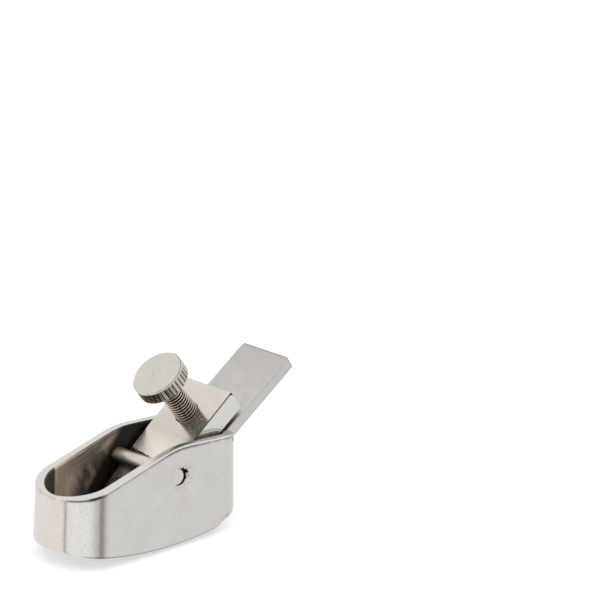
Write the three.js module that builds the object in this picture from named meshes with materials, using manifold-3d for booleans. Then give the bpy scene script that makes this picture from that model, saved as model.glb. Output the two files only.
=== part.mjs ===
// A finger plane: a palm-sized plane with a curved sole, a thick blade on a sloping bed,
// and a lever cap that a thumb screw tightens under a cross pin.
import * as THREE from "three";
import { mergeVertices } from "three/addons/utils/BufferGeometryUtils.js";
import Module from "manifold-3d";

const wasm = await Module();
wasm.setup();

const radians = THREE.MathUtils.degToRad;

// Lengths are millimetres. X runs from the nose to the heel, Y across and Z up, measured from
// the lowest point of the sole while the ring wall stands upright.

// Ring wall, measured at the level part of the rim
const noseReach = 15.7;
const heelReach = 19;
const noseDepth = 6.2;
const noseFullness = 2.12;
const heelCornerRadius = 3;
const draftAngle = radians(1);
const sideWall = 2;
const wellClearance = 0.65;
const noseWall = 0.7;
const heelWall = 2;
const wellFullness = 1.8;
const wellCornerRadius = 1.2;

// Rim, seen from the side: a slope up from the nose, a soft shoulder, then level to the heel
const rimHeight = 18.3;
const rimSlope = radians(18.1);
const shoulderReach = 4.8;
const shoulderRadius = 17;
const heelRimRadius = 0.8;

// Sole, convex both ways, with a small flat land worn where the plane stands by itself
const soleRadius = 72;
const soleCrossRadius = 56;
const soleThickness = 2.6;
const edgeRadius = 0.5;
const heelEdgeRadius = 2.1;
const heelEdgeReach = 13.5;
const landLength = 10;
const restLean = radians(3.6);

// Bed and mouth
const bedAngle = radians(37.5);
const bedFoot = 2.28;
const rampHeight = 6.5;
const toeHeight = 5.6;
const mouthGap = 0.9;
const throatAngle = radians(8);
const slotClearance = 0.2;
const seatGap = 0.1;

// Blade, bevel down
const bladeWidth = 12;
const bladeThickness = 2.11;
const bladeTail = 44.9;
const bevelAngle = radians(28);
const bladeCornerChamfer = 0.5;

// Cross pin
const pinReach = 4.4;
const pinHeight = 13.3;
const pinDiameter = 2.8;
const pinSkew = radians(2);
const pinDrop = radians(1);
const pinClearance = 0.06;

// Lever cap
const capInset = 0.05;
const capNoseAngle = radians(46);
const capTopAngle = radians(40.2);
const capUnderAngle = radians(38.8);
const capNoseLength = 11;
const capSeatDepth = 0.56;
const capBreakReach = 3.79;
const capTailLength = 14.8;
const capThickness = 3.85;
const capTailRadius = 1;
const capNoseRadius = 1.1;
const capLipLength = 1.6;
const capEdgeChamfer = 0.15;
const bearingGap = 0.1;

// Thumb screw
const screwSetback = 6.44;
const threadDiameter = 4.2;
const threadPitch = 0.6;
const threadDepth = 0.34;
const boreClearance = 0.12;
const screwTipChamfer = 0.8;
const headDiameter = 9.48;
const headThickness = 2.69;
const headHeight = 10.82;
const headChamfer = 0.22;
const headTeeth = 36;
const toothDepth = 0.26;
const rivetDiameter = 1.6;
const rivetClearance = 0.06;

// How far a cutting solid runs past the face that it cuts
const overrun = 1;

// Facet counts of the round shapes
const noseFacets = 26;
const cornerFacets = 6;
const sideFacets = 14;
const shoulderFacets = 6;
const soleFacets = 26;
const barrelFacets = 180;
const pinFacets = 24;
const screwFacets = 16;
const headFacets = 72;
const bladeFacets = 10;

// Rounds of the search for the place where a line along the bed meets the sole
const reachPasses = 10;

// Shares of a tooth's pitch at which its crest and its root begin and end
const toothShares = [0.1, 0.4, 0.65, 0.85];
const toothCrestShares = [1, 1, 0, 0];

const bodyWidth = bladeWidth + 2 * (wellClearance + sideWall);
const bodyHalfWidth = bodyWidth / 2;
const capWidth = bladeWidth - 2 * capInset;
const planMiddle = (heelReach - noseReach) / 2;
const planHalfLength = (heelReach + noseReach) / 2;
const noseCentre = noseDepth - noseReach;
const pinRadius = pinDiameter / 2;
const threadRadius = threadDiameter / 2;
const headRadius = headDiameter / 2;
const landDepth = landLength ** 2 / (8 * soleRadius);

// The solid enclosed by a closed geometry.
function solid(geometry) {
  const bare = geometry.index ? geometry.toNonIndexed() : geometry.clone();
  bare.deleteAttribute("normal");
  bare.deleteAttribute("uv");
  const merged = mergeVertices(bare);
  return new wasm.Manifold(
    new wasm.Mesh({
      numProp: 3,
      vertProperties: new Float32Array(merged.attributes.position.array),
      triVerts: new Uint32Array(merged.index.array),
    }),
  );
}

// A named mesh with the outside of a solid.
function part(name, shape, material) {
  const { vertProperties, triVerts } = shape.getMesh();
  const geometry = new THREE.BufferGeometry();
  geometry.setAttribute("position", new THREE.BufferAttribute(vertProperties, 3));
  geometry.setIndex(new THREE.BufferAttribute(triVerts, 1));
  geometry.computeVertexNormals();
  const mesh = new THREE.Mesh(geometry, material);
  mesh.name = name;
  return mesh;
}

const point = (x, y) => new THREE.Vector2(x, y);

// Points along a circular arc, ends included.
function arc(centreX, centreY, radius, from, to, facets) {
  return Array.from({ length: facets + 1 }, (_, i) => {
    const angle = from + ((to - from) * i) / facets;
    return point(centreX + radius * Math.cos(angle), centreY + radius * Math.sin(angle));
  });
}

// The point on a line through start at an angle, at a distance, raised square to the line.
function along(start, angle, distance, raise = 0) {
  return point(
    start.x + distance * Math.cos(angle) - raise * Math.sin(angle),
    start.y + distance * Math.sin(angle) + raise * Math.cos(angle),
  );
}

// A side outline in X and Z, extruded across the middle plane.
function acrossGeometry(outline, width, steps = 1) {
  const options = { depth: width, steps, bevelEnabled: false };
  return new THREE.ExtrudeGeometry(new THREE.Shape(outline), options)
    .rotateX(Math.PI / 2)
    .translate(0, width / 2, 0);
}

const across = (outline, width) => solid(acrossGeometry(outline, width));

// A profile of radius and height, turned round the Z axis.
const turned = (profile, facets) => new THREE.LatheGeometry(profile, facets).rotateX(Math.PI / 2);

// A round rod on the cross pin's axis, which stands a little askew.
function pinRod(radius) {
  const rod = new THREE.CylinderGeometry(radius, radius, 2 * bodyWidth, pinFacets);
  return solid(rod.rotateX(pinDrop).rotateZ(pinSkew).translate(pinReach, 0, pinHeight));
}

// A closed solid through level or curved rings of as many points, from the lowest ring up.
function loft(rings) {
  const count = rings[0].length;
  const caps = THREE.ShapeUtils.triangulateShape(rings[0], []);
  const last = (rings.length - 1) * count;
  const faces = caps.flatMap(([a, b, c]) => [c, b, a, last + a, last + b, last + c]);
  for (let corner = 0; corner < last; corner++) {
    const next = corner - (corner % count) + ((corner + 1) % count);
    faces.push(corner, next, next + count, corner, next + count, corner + count);
  }
  const places = rings.flat().flatMap((place) => place.toArray());
  const geometry = new THREE.BufferGeometry();
  geometry.setAttribute("position", new THREE.Float32BufferAttribute(places, 3));
  geometry.setIndex(faces);
  return solid(geometry);
}

// Plan outline: a superellipse nose, straight sides, and a heel with rounded corners.
function planOutline(noseTip, noseCentre, heel, halfWidth, fullness, cornerRadius) {
  const power = 2 / fullness;
  const nose = Array.from({ length: noseFacets + 1 }, (_, i) => {
    const angle = Math.PI * (i / noseFacets - 1 / 2);
    const x = noseCentre - (noseCentre - noseTip) * Math.abs(Math.cos(angle)) ** power;
    const y = Math.sign(angle) * halfWidth * Math.abs(Math.sin(angle)) ** power;
    return point(x, -y);
  });
  const right = Math.PI / 2;
  const x = heel - cornerRadius;
  const y = halfWidth - cornerRadius;
  const side = Array.from({ length: sideFacets - 1 }, (_, i) => {
    const share = (i + 1) / sideFacets;
    return point(noseCentre + (x - noseCentre) * share, -halfWidth);
  });
  return [
    ...nose,
    ...side,
    ...arc(x, -y, cornerRadius, -right, 0, cornerFacets),
    ...arc(x, y, cornerRadius, 0, right, cornerFacets),
    ...side.map((place) => point(place.x, halfWidth)).reverse(),
  ];
}

// Height of the sole's centre line at a distance from its lowest point.
const soleLine = (x) => soleRadius - Math.sqrt(soleRadius ** 2 - x ** 2);

// The place on the sole's centre line that touches the ground when the plane leans at rest.
const restReach = soleRadius * Math.sin(restLean);
const restPoint = point(restReach, soleLine(restReach));

// Height of the sole at a place in plan.
const soleSurface = (x, y) =>
  soleCrossRadius - Math.sqrt((soleCrossRadius - soleLine(x)) ** 2 - y ** 2);

// How far the ring wall has spread by its draft at a height below the rim.
const spreadAt = (z) => Math.tan(draftAngle) * (rimHeight - z);

const footReach = heelReach + spreadAt(0) + overrun;

// A barrel with the sole as its underside, or a floor at an inset above the sole.
function barrel(inset) {
  const keel = soleRadius - inset;
  const turn = Math.asin(footReach / keel);
  const down = -Math.PI / 2;
  const keelLine = arc(0, soleRadius, keel, down - turn, down + turn, soleFacets);
  const profile = [
    point(0, -footReach),
    ...keelLine.map(({ x, y }) => point(soleCrossRadius - y, x)),
    point(0, footReach),
  ];
  const geometry = new THREE.LatheGeometry(profile, barrelFacets)
    .rotateZ(-Math.PI / 2)
    .translate(0, 0, soleCrossRadius);
  return solid(geometry);
}

// Side outline under the rim: everything that the slope, shoulder and level rim leave standing.
function rimOutline() {
  const ends = [footReach, -footReach];
  const tangent = shoulderRadius * Math.tan(rimSlope / 2);
  const up = Math.PI / 2;
  const noseTop = rimHeight - (shoulderReach - ends[1]) * Math.tan(rimSlope);
  return [
    point(ends[1], -overrun),
    point(ends[0], -overrun),
    point(ends[0], rimHeight - heelRimRadius),
    point(heelReach, rimHeight - heelRimRadius),
    ...arc(heelReach - heelRimRadius, rimHeight - heelRimRadius, heelRimRadius, 0, up, cornerFacets),
    ...arc(
      shoulderReach + tangent,
      rimHeight - shoulderRadius,
      shoulderRadius,
      up,
      up + rimSlope,
      shoulderFacets,
    ),
    point(ends[1], noseTop),
  ];
}

// The bed line starts where the blade's underside would meet the sole's lowest level.
const bedStart = point(-bedFoot, 0);
const bed = (distance, raise = 0) => along(bedStart, bedAngle, distance, raise);

// Distance along the bed at which a line raised above it reaches the sole.
function bedReachOfSole(raise) {
  let distance = 0;
  for (let pass = 0; pass < reachPasses; pass++) {
    const height = soleLine(bed(distance, raise).x) - raise * Math.cos(bedAngle);
    distance = height / Math.sin(bedAngle);
  }
  return distance;
}

const edgeDistance = bedReachOfSole(bladeThickness);
const cuttingEdge = bed(edgeDistance, bladeThickness);

// The ring wall's outline in plan at its rim, drawn in by an inset.
const wallOutline = (inset) =>
  planOutline(
    inset - noseReach,
    noseCentre,
    heelReach - inset,
    bodyHalfWidth - inset,
    noseFullness,
    heelCornerRadius - inset,
  );

// Outside of the body under its rim: drafted walls whose lower edge is rounded, more at the heel.
function wallBlock() {
  const outer = wallOutline(0);
  const inner = wallOutline(heelEdgeRadius);
  const ring = (turn, level) =>
    outer.map(({ x, y }, i) => {
      const share = THREE.MathUtils.smoothstep(x, heelEdgeReach, heelReach - heelCornerRadius);
      const radius = THREE.MathUtils.lerp(edgeRadius, heelEdgeRadius, share);
      const inset = (radius * (1 - Math.sin(turn))) / heelEdgeRadius;
      const place = point(x, y).lerp(inner[i], inset);
      const height = soleSurface(place.x, place.y) + radius * (1 - Math.cos(turn));
      const spread = spreadAt(height);
      return new THREE.Vector3(
        planMiddle + (place.x - planMiddle) * (1 + spread / planHalfLength),
        place.y * (1 + spread / bodyHalfWidth),
        level ?? height,
      );
    });
  const turns = arc(0, 0, 1, 0, Math.PI / 2, cornerFacets).map(({ x, y }) => Math.atan2(y, x));
  const top = outer.map(({ x, y }) => new THREE.Vector3(x, y, rimHeight));
  const over = outer.map(({ x, y }) => new THREE.Vector3(x, y, rimHeight + overrun));
  return loft([ring(0, -overrun), ...turns.map((turn) => ring(turn)), top, over]);
}

// Plane body: ring wall and sole in one casting, with a ramp, a heel notch and a mouth.
function planeBody() {
  const block = wallBlock()
    .intersect(across(rimOutline(), bodyWidth + 2 * overrun))
    .intersect(barrel(0));

  const wellHalfWidth = bodyHalfWidth - sideWall;
  const well = planOutline(
    noseWall - noseReach,
    noseCentre,
    heelReach - heelWall,
    wellHalfWidth,
    wellFullness,
    wellCornerRadius,
  );
  const options = { depth: rimHeight + overrun, bevelEnabled: false };
  const wellPrism = new THREE.ExtrudeGeometry(new THREE.Shape(well), options);
  const hollow = solid(wellPrism).intersect(barrel(soleThickness));

  const below = -overrun / Math.sin(bedAngle);
  const rampTop = bed(rampHeight / Math.sin(bedAngle), -seatGap);
  const ramp = across([bed(below, -seatGap), rampTop, point(rampTop.x, -overrun)], bodyWidth);
  const toe = across(
    [
      point(-footReach, -overrun),
      point(cuttingEdge.x, -overrun),
      point(cuttingEdge.x, toeHeight),
      point(-footReach, toeHeight),
    ],
    bodyWidth,
  );

  const slotWidth = bladeWidth + 2 * slotClearance;
  const throatTop = Math.max(rampHeight, toeHeight) + overrun;
  const mouthFront = cuttingEdge.x - mouthGap;
  const throat = across(
    [
      bed(below, -seatGap),
      bed(throatTop / Math.sin(bedAngle), -seatGap),
      point(mouthFront - (throatTop + overrun) * Math.tan(throatAngle), throatTop),
      point(mouthFront, -overrun),
    ],
    slotWidth,
  );
  const notchFoot = (heelReach - heelWall + bedFoot - overrun) / Math.cos(bedAngle);
  const notchEnd = (footReach + bedFoot) / Math.cos(bedAngle);
  const notchTop = Math.max(rimHeight, bed(notchEnd).y) + overrun;
  const notch = across(
    [
      bed(notchFoot, -seatGap),
      bed(notchEnd, -seatGap),
      point(bed(notchEnd, -seatGap).x, notchTop),
      point(bed(notchFoot, -seatGap).x, notchTop),
    ],
    slotWidth,
  );
  const pinHole = pinRod(pinRadius + pinClearance);
  const landLine = [-bodyWidth, bodyWidth].map((x) => along(restPoint, restLean, x, landDepth));
  const under = [bodyWidth, -bodyWidth].map((x) => along(restPoint, restLean, x, -bodyWidth));
  const land = across([...landLine, ...under], 2 * bodyWidth);

  const shell = block.subtract(hollow).add(ramp.add(toe).intersect(block));
  return [throat, notch, pinHole, land].reduce((rest, cut) => rest.subtract(cut), shell);
}

// Cross pin: a plain rod through both walls, its ends dressed flush with them.
const crossPin = () => pinRod(pinRadius).intersect(wallBlock());

// Blade: a flat bar, bevelled underneath, whose edge is cambered to follow the sole.
function blade() {
  const bevelStart = edgeDistance + bladeThickness / Math.tan(bevelAngle);
  const outline = [
    bed(edgeDistance, bladeThickness),
    bed(bevelStart),
    bed(bladeTail),
    bed(bladeTail, bladeThickness),
  ];
  const geometry = acrossGeometry(outline, bladeWidth, bladeFacets);
  const places = geometry.attributes.position;
  const lowest = bed(bevelStart + bearingGap).x;
  for (let i = 0; i < places.count; i++) {
    if (places.getX(i) > lowest) continue;
    const rise = places.getY(i) ** 2 / (2 * soleCrossRadius);
    places.setX(i, places.getX(i) + rise / Math.tan(bedAngle));
    places.setZ(i, places.getZ(i) + rise);
  }
  const half = bladeWidth / 2;
  const corner = new THREE.Shape([
    point(bladeTail - bladeCornerChamfer, half + overrun),
    point(bladeTail - bladeCornerChamfer, half),
    point(bladeTail, half - bladeCornerChamfer),
    point(bladeTail + overrun, half - bladeCornerChamfer),
    point(bladeTail + overrun, half + overrun),
  ]);
  const thickness = bladeThickness + 2 * overrun;
  const clip = new THREE.ExtrudeGeometry(corner, { depth: thickness, bevelEnabled: false })
    .translate(0, 0, -overrun)
    .rotateY(-bedAngle)
    .translate(-bedFoot, 0, 0);
  const mirrored = new THREE.Matrix4().makeRotationAxis(
    new THREE.Vector3(Math.cos(bedAngle), 0, Math.sin(bedAngle)),
    Math.PI,
  );
  const shift = bed(0, bladeThickness);
  const otherClip = clip
    .clone()
    .translate(bedFoot, 0, 0)
    .applyMatrix4(mirrored)
    .translate(shift.x, 0, shift.y);
  return solid(geometry).subtract(solid(clip)).subtract(solid(otherClip));
}

// Places on the lever cap's top, from where its nose face runs under the pin.
const pinCentre = point(pinReach, pinHeight);
const pinFootRaise = capSeatDepth - pinRadius - pinClearance;
const capBreak = along(pinCentre, capNoseAngle, capBreakReach, pinFootRaise);
const capTail = along(capBreak, capTopAngle, capTailLength);
const screwFoot = along(capTail, capTopAngle, -screwSetback);

// Lever cap: its tapered nose ends in a lip on the blade, and the thumb screw runs in its tail.
function leverCap() {
  const tailFoot = along(capTail, capTopAngle, 0, -capThickness);
  const noseEnd = along(pinCentre, capNoseAngle, -capNoseLength, pinFootRaise);
  const noseTop = along(noseEnd, capNoseAngle, capNoseRadius);
  const bedDistance = (place) =>
    (place.x - bedStart.x) * Math.cos(bedAngle) + (place.y - bedStart.y) * Math.sin(bedAngle);
  const lipFront = bed(bedDistance(noseEnd), bladeThickness + bearingGap);
  const lipBack = bed(bedDistance(noseEnd) + capLipLength, bladeThickness + bearingGap);
  const underLength = (tailFoot.x - lipBack.x) / Math.cos(capUnderAngle) - capLipLength / 2;
  const underEnd = along(tailFoot, capUnderAngle, -underLength);
  const nose = new THREE.QuadraticBezierCurve(noseTop, noseEnd, lipFront);
  const roundStart = along(tailFoot, capTopAngle, 0, capTailRadius);
  const roundEnd = along(tailFoot, capUnderAngle, -capTailRadius);
  const tail = new THREE.QuadraticBezierCurve(roundStart, tailFoot, roundEnd);
  const outline = new THREE.Shape([
    capBreak,
    ...nose.getPoints(cornerFacets),
    lipBack,
    underEnd,
    ...tail.getPoints(cornerFacets).reverse(),
    capTail,
  ]);
  const body = new THREE.ExtrudeGeometry(outline, {
    depth: capWidth - 2 * capEdgeChamfer,
    bevelThickness: capEdgeChamfer,
    bevelSize: capEdgeChamfer,
    bevelOffset: -capEdgeChamfer,
    bevelSegments: 1,
  })
    .rotateX(Math.PI / 2)
    .translate(0, capWidth / 2 - capEdgeChamfer, 0);
  const radius = threadRadius + boreClearance;
  const bore = new THREE.CylinderGeometry(radius, radius, 3 * capThickness, pinFacets)
    .rotateX(Math.PI / 2)
    .rotateY(-capTopAngle)
    .translate(screwFoot.x, 0, screwFoot.y);
  return solid(body).subtract(solid(bore)).subtract(pinRod(pinRadius + pinClearance));
}

// A helical ridge round the Z axis from one height to another, closed at both ends.
function threadGeometry(bottom, top) {
  const turns = Math.ceil((top - bottom) / threadPitch);
  const rows = 2 * turns;
  const places = [];
  for (let row = 0; row <= rows; row++) {
    const radius = threadRadius - (row % 2 ? 0 : threadDepth);
    for (let column = 0; column < screwFacets; column++) {
      const turn = column / screwFacets;
      const angle = 2 * Math.PI * turn;
      const height = bottom + threadPitch * (row / 2 + turn);
      places.push(radius * Math.cos(angle), radius * Math.sin(angle), height);
    }
  }
  const id = (row, column) =>
    column < screwFacets ? row * screwFacets + column : id(row + 2, column - screwFacets);
  const faces = [];
  const columns = Array.from({ length: screwFacets }, (_, column) => column);
  for (let row = 0; row <= rows - 3; row++) {
    for (const column of columns) {
      const [a, b] = [id(row, column), id(row, column + 1)];
      const [c, d] = [id(row + 1, column + 1), id(row + 1, column)];
      faces.push(a, b, c, a, c, d);
    }
  }
  const fan = (rim, height, flip) => {
    const hub = places.length / 3;
    places.push(0, 0, height);
    rim.forEach((from, i) => {
      const to = rim[(i + 1) % rim.length];
      faces.push(hub, ...(flip ? [to, from] : [from, to]));
    });
  };
  const last = rows - 2;
  fan([...columns.map((column) => id(0, column)), id(2, 0), id(1, 0)], bottom, true);
  fan([...columns.map((column) => id(last, column)), id(last + 2, 0), id(last + 1, 0)], top, false);
  const geometry = new THREE.BufferGeometry();
  geometry.setAttribute("position", new THREE.Float32BufferAttribute(places, 3));
  geometry.setIndex(faces);
  return geometry;
}

// The screw is modelled upright, its foot at the cap's top face.
const headFoot = headHeight - headThickness;

// Distance from the cap's top face down the screw's axis to the blade.
function tipDepth() {
  const raise = (screwFoot.y - bedStart.y) * Math.cos(bedAngle);
  const rise = raise - (screwFoot.x - bedStart.x) * Math.sin(bedAngle);
  const tilt = capTopAngle - bedAngle;
  const edgeDrop = (threadRadius - screwTipChamfer) * Math.tan(tilt);
  return (rise - bladeThickness - bearingGap) / Math.cos(tilt) - edgeDrop;
}

// Screw shank: a fine thread with a chamfered tip, and a turned-down end riveted in the head.
function screwShank() {
  const tip = -tipDepth();
  const shoulder = headFoot - rivetClearance;
  const tipRadius = threadRadius - screwTipChamfer;
  const envelope = [
    point(0, tip),
    point(tipRadius, tip),
    point(threadRadius + overrun, tip + screwTipChamfer + overrun),
    point(threadRadius + overrun, shoulder),
    point(0, shoulder),
  ];
  const rod = solid(threadGeometry(tip - 3 * threadPitch, shoulder + 3 * threadPitch));
  const rivetRadius = rivetDiameter / 2;
  const rivet = [
    point(0, shoulder - overrun),
    point(rivetRadius, shoulder - overrun),
    point(rivetRadius, headHeight),
    point(0, headHeight),
  ];
  const blank = solid(turned(envelope, screwFacets));
  return rod.intersect(blank).add(solid(turned(rivet, screwFacets)));
}

// Screw head: a disc with straight knurling round its edge.
function screwHead() {
  const outline = Array.from({ length: headTeeth }, (_, tooth) =>
    toothShares.map((share, i) => {
      const angle = (2 * Math.PI * (tooth + share)) / headTeeth;
      const radius = headRadius - toothDepth * (1 - toothCrestShares[i]);
      return point(radius * Math.cos(angle), radius * Math.sin(angle));
    }),
  ).flat();
  const options = { depth: headThickness, bevelEnabled: false };
  const toothed = new THREE.ExtrudeGeometry(new THREE.Shape(outline), options);
  const wide = headRadius + overrun;
  const rim = headChamfer + overrun;
  const disc = [
    point(0, 0),
    point(headRadius - headChamfer, 0),
    point(wide, rim),
    point(wide, headThickness - rim),
    point(headRadius - headChamfer, headThickness),
    point(0, headThickness),
  ];
  const hole = rivetDiameter / 2 + rivetClearance;
  const eye = new THREE.CylinderGeometry(hole, hole, 3 * headThickness, screwFacets);
  return solid(toothed)
    .intersect(solid(turned(disc, headFacets)))
    .subtract(solid(eye.rotateX(Math.PI / 2)));
}

const finish = (color, roughness) =>
  new THREE.MeshStandardMaterial({ color, roughness, metalness: 1 });

const bodyNickel = finish(0xd0cec8, 0.14);
const bladeSteel = finish(0xc4c3c0, 0.38);
const capNickel = finish(0xd6d0ca, 0.2);
const screwNickel = finish(0xd2d0ca, 0.24);

// The plane stands on its land, leaning a little back on its heel.
const leaning = new THREE.Group();
leaning.rotation.y = restLean;
leaning.position.set(-restPoint.x, 0, restPoint.y - landDepth);
leaning.add(part("plane_body", planeBody(), bodyNickel));
leaning.add(part("cross_pin", crossPin(), bodyNickel));
leaning.add(part("blade", blade(), bladeSteel));
leaning.add(part("lever_cap", leverCap(), capNickel));

const screw = new THREE.Group();
screw.position.set(screwFoot.x, 0, screwFoot.y);
screw.rotation.y = -capTopAngle;
screw.add(part("screw_shank", screwShank(), screwNickel));
const head = part("screw_head", screwHead(), screwNickel);
head.position.z = headFoot;
screw.add(head);
leaning.add(screw);

const fingerPlane = new THREE.Group();
fingerPlane.add(leaning);

export default fingerPlane;
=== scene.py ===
# %% [markdown]
# # A finger plane for the bench
# A finger plane is a palm-sized plane for hollowing wood. This one is a nickel-plated casting
# with a curved sole, a thick steel blade on a sloping bed, and a lever cap that a thumb screw
# tightens under a cross pin. The frame holds the plain solids. Each cell here makes one piece
# of the real thing again as a smooth surface, gives it its finish, and lets it ride on the body
# that carries it.

import bmesh
import bpy
import numpy as np
from mathutils import Matrix, Vector


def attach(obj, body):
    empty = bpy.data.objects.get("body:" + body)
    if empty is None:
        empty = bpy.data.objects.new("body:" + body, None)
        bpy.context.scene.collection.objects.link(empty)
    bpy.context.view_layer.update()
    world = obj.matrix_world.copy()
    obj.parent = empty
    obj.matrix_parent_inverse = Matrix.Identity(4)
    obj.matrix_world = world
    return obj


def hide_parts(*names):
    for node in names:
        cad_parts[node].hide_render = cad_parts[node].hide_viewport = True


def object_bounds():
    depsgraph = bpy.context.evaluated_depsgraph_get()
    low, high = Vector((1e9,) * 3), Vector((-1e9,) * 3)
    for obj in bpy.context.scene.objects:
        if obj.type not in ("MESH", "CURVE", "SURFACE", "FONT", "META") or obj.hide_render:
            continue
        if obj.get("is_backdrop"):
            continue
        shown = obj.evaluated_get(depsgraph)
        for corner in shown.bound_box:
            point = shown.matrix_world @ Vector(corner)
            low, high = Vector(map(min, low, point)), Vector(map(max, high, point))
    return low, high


MM = 0.001

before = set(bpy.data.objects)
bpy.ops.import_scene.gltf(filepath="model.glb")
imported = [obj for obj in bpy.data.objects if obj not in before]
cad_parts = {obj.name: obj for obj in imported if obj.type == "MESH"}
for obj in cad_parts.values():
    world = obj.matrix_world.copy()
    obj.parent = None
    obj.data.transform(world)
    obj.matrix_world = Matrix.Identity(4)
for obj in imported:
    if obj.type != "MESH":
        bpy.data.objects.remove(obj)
cad_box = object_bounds()
print("box of the solids in mm:", [[round(v / MM, 2) for v in corner] for corner in cad_box])

# %% [markdown]
# ## Upright lengths and the stance
# The plane is drawn upright in millimetres, as on a workshop sketch, with its sole's lowest
# point at zero. On the bench it leans a little back on a small flat worn under the sole. One
# function does that turn for every piece, so no object is moved or turned afterwards.

# %% From the sketch to the bench
LEAN = np.radians(3.6)
SOLE_RADIUS, SOLE_CROSS_RADIUS = 72.0, 56.0
LAND_LENGTH = 10.0
LAND_DEPTH = LAND_LENGTH**2 / (8 * SOLE_RADIUS)


def tilted(angle):
    """Rows: the way along a line that rises at an angle, the way across, the way square to it."""
    cos, sin = np.cos(angle), np.sin(angle)
    return np.array([[cos, 0, sin], [0, 1, 0], [-sin, 0, cos]])


sole_centre = np.array([0, 0, SOLE_RADIUS])
BENCH_SHIFT = sole_centre - sole_centre @ tilted(-LEAN) - [0, 0, LAND_DEPTH]


def stand(points):
    """Upright millimetres to metres on the bench: x' = x cos + z sin and z' = z cos - x sin."""
    return (np.asarray(points, float) @ tilted(-LEAN) + BENCH_SHIFT) * MM


def upright(points):
    """The way back from the bench to the sketch, in millimetres."""
    return (points / MM - BENCH_SHIFT) @ tilted(LEAN)


print("the sketch's zero stands at", (stand([0, 0, 0]) / MM).round(3))

# %% [markdown]
# ## From a grid of points to a piece
# Every shape below is a grid: rows along it, columns round it. Neighbouring rows and columns
# make quads, a row drawn to one point closes an end, and points that fall together are merged,
# so each piece is one closed skin. Flat faces keep flat shading through weighted normals.

# %% Grid to mesh
MERGE_DISTANCE = 2e-6
CREASE = np.radians(28)


def in_scene(name, data):
    """A new object of the scene, at the origin."""
    made = bpy.data.objects.new(name, data)
    bpy.context.scene.collection.objects.link(made)
    return made


def keep_numbers(mesh, numbers):
    """Numbers at the mesh's points, for its finish to read."""
    for title, values in numbers.items():
        mesh.attributes.new(title, "FLOAT", "POINT").data.foreach_set("value", values.ravel())


def triples(items, title):
    """The places or normals of a mesh's points or faces, one in a row."""
    values = np.empty(len(items) * 3)
    items.foreach_get(title, values)
    return values.reshape(-1, 3)


def skin(name, grid, lids=(), numbers=None):
    """A piece: quads between the rows and round the columns of a grid, and given lids."""
    rows, columns = grid.shape[:2]
    here = np.arange(columns)
    there = np.roll(here, -1)
    first = np.arange(rows - 1)[:, None] * columns
    corners = [first + here, first + there, first + there + columns, first + here + columns]
    faces = np.stack(corners, -1).reshape(-1, 4)
    mesh = bpy.data.meshes.new(name)
    mesh.from_pydata(stand(grid.reshape(-1, 3)).tolist(), [], [*faces.tolist(), *lids])
    keep_numbers(mesh, numbers or {})
    piece = in_scene(name, mesh)
    tidy(mesh)
    return piece


def tidy(mesh):
    """Merges the doubles, turns the faces outward and marks the creases."""
    work = bmesh.new()
    work.from_mesh(mesh)
    bmesh.ops.remove_doubles(work, verts=work.verts, dist=MERGE_DISTANCE)
    bmesh.ops.recalc_face_normals(work, faces=work.faces)
    work.to_mesh(mesh)
    open_edges = sum(len(edge.link_faces) != 2 for edge in work.edges)
    work.free()
    mesh.shade_smooth()
    mesh.set_sharp_from_angle(angle=CREASE)
    print(mesh.name, len(mesh.polygons), "faces,", open_edges, "edges without two faces")


# %% [markdown]
# ## Cutting one shape with another
# The mouth, the notch and the holes are cut as they are in the shop, after the wall is there.
# Blender's Boolean does the cut, and its result is kept as a plain mesh.

# %% Boolean cuts
def combine(piece, other, operation):
    """Joins, cuts or intersects piece with other, and removes other."""
    step = piece.modifiers.new("cut", "BOOLEAN")
    step.operation, step.object, step.solver = operation, other, "MANIFOLD"
    graph = bpy.context.evaluated_depsgraph_get()
    made = bpy.data.meshes.new_from_object(piece.evaluated_get(graph), depsgraph=graph)
    piece.modifiers.clear()
    old, piece.data = piece.data, made
    made.name = piece.name
    bpy.data.meshes.remove(old)
    bpy.data.meshes.remove(other.data)
    tidy(made)
    return piece


# %% [markdown]
# ## Lines along the bed
# The blade and the cap are drawn along sloping lines: so far along, so far square to it. The
# blade's edge has to lie on the curved sole, so its place is found by a few rounds of trying.

# %% Sloping lines
BED = np.radians(37.5)
BED_START = np.array([-2.28, 0.0])
BLADE_THICKNESS = 2.11


def along(start, angle, distance, raised=0.0):
    """The place in X and Z at a distance along a line from start, raised square to the line."""
    offset = np.stack(np.broadcast_arrays(distance, raised), -1)
    return start + offset @ tilted(angle)[::2, ::2]


def point_at(place, y=0.0):
    """A place in X and Z, or a grid of them, as points so far across."""
    return np.insert(place, 1, y, -1)


def bed(distance, raised=0.0):
    """A place along the bed, measured from where the bed line meets the sole's level."""
    return along(BED_START, BED, distance, raised)


def keel_height(x, inset=0.0):
    """Height of the sole's middle line, an arc that touches zero, or of one drawn in."""
    return SOLE_RADIUS - np.sqrt((SOLE_RADIUS - inset) ** 2 - x**2)


def barrel_height(x, y, inset=0.0):
    """Height of the barrel-shaped sole, or of the floor at an inset above it."""
    return SOLE_CROSS_RADIUS - np.sqrt((SOLE_CROSS_RADIUS - keel_height(x, inset)) ** 2 - y**2)


edge_distance = 0.0
for _ in range(10):
    reach = bed(edge_distance, BLADE_THICKNESS)[0]
    edge_distance = (keel_height(reach) - BLADE_THICKNESS * np.cos(BED)) / np.sin(BED)
cutting_edge = bed(edge_distance, BLADE_THICKNESS)
print("the cutting edge lies at", cutting_edge.round(3))

# %% [markdown]
# ## The ring wall in plan
# Seen from above the casting is a superellipse at the nose, straight along the sides, and has
# rounded corners at the heel. The same outline, drawn in by an inset, gives the roundings. The
# hollow has an outline of the same kind, leaner round the nose and squarer at the heel, so the
# wall's thickness varies as the real one does.

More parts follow.
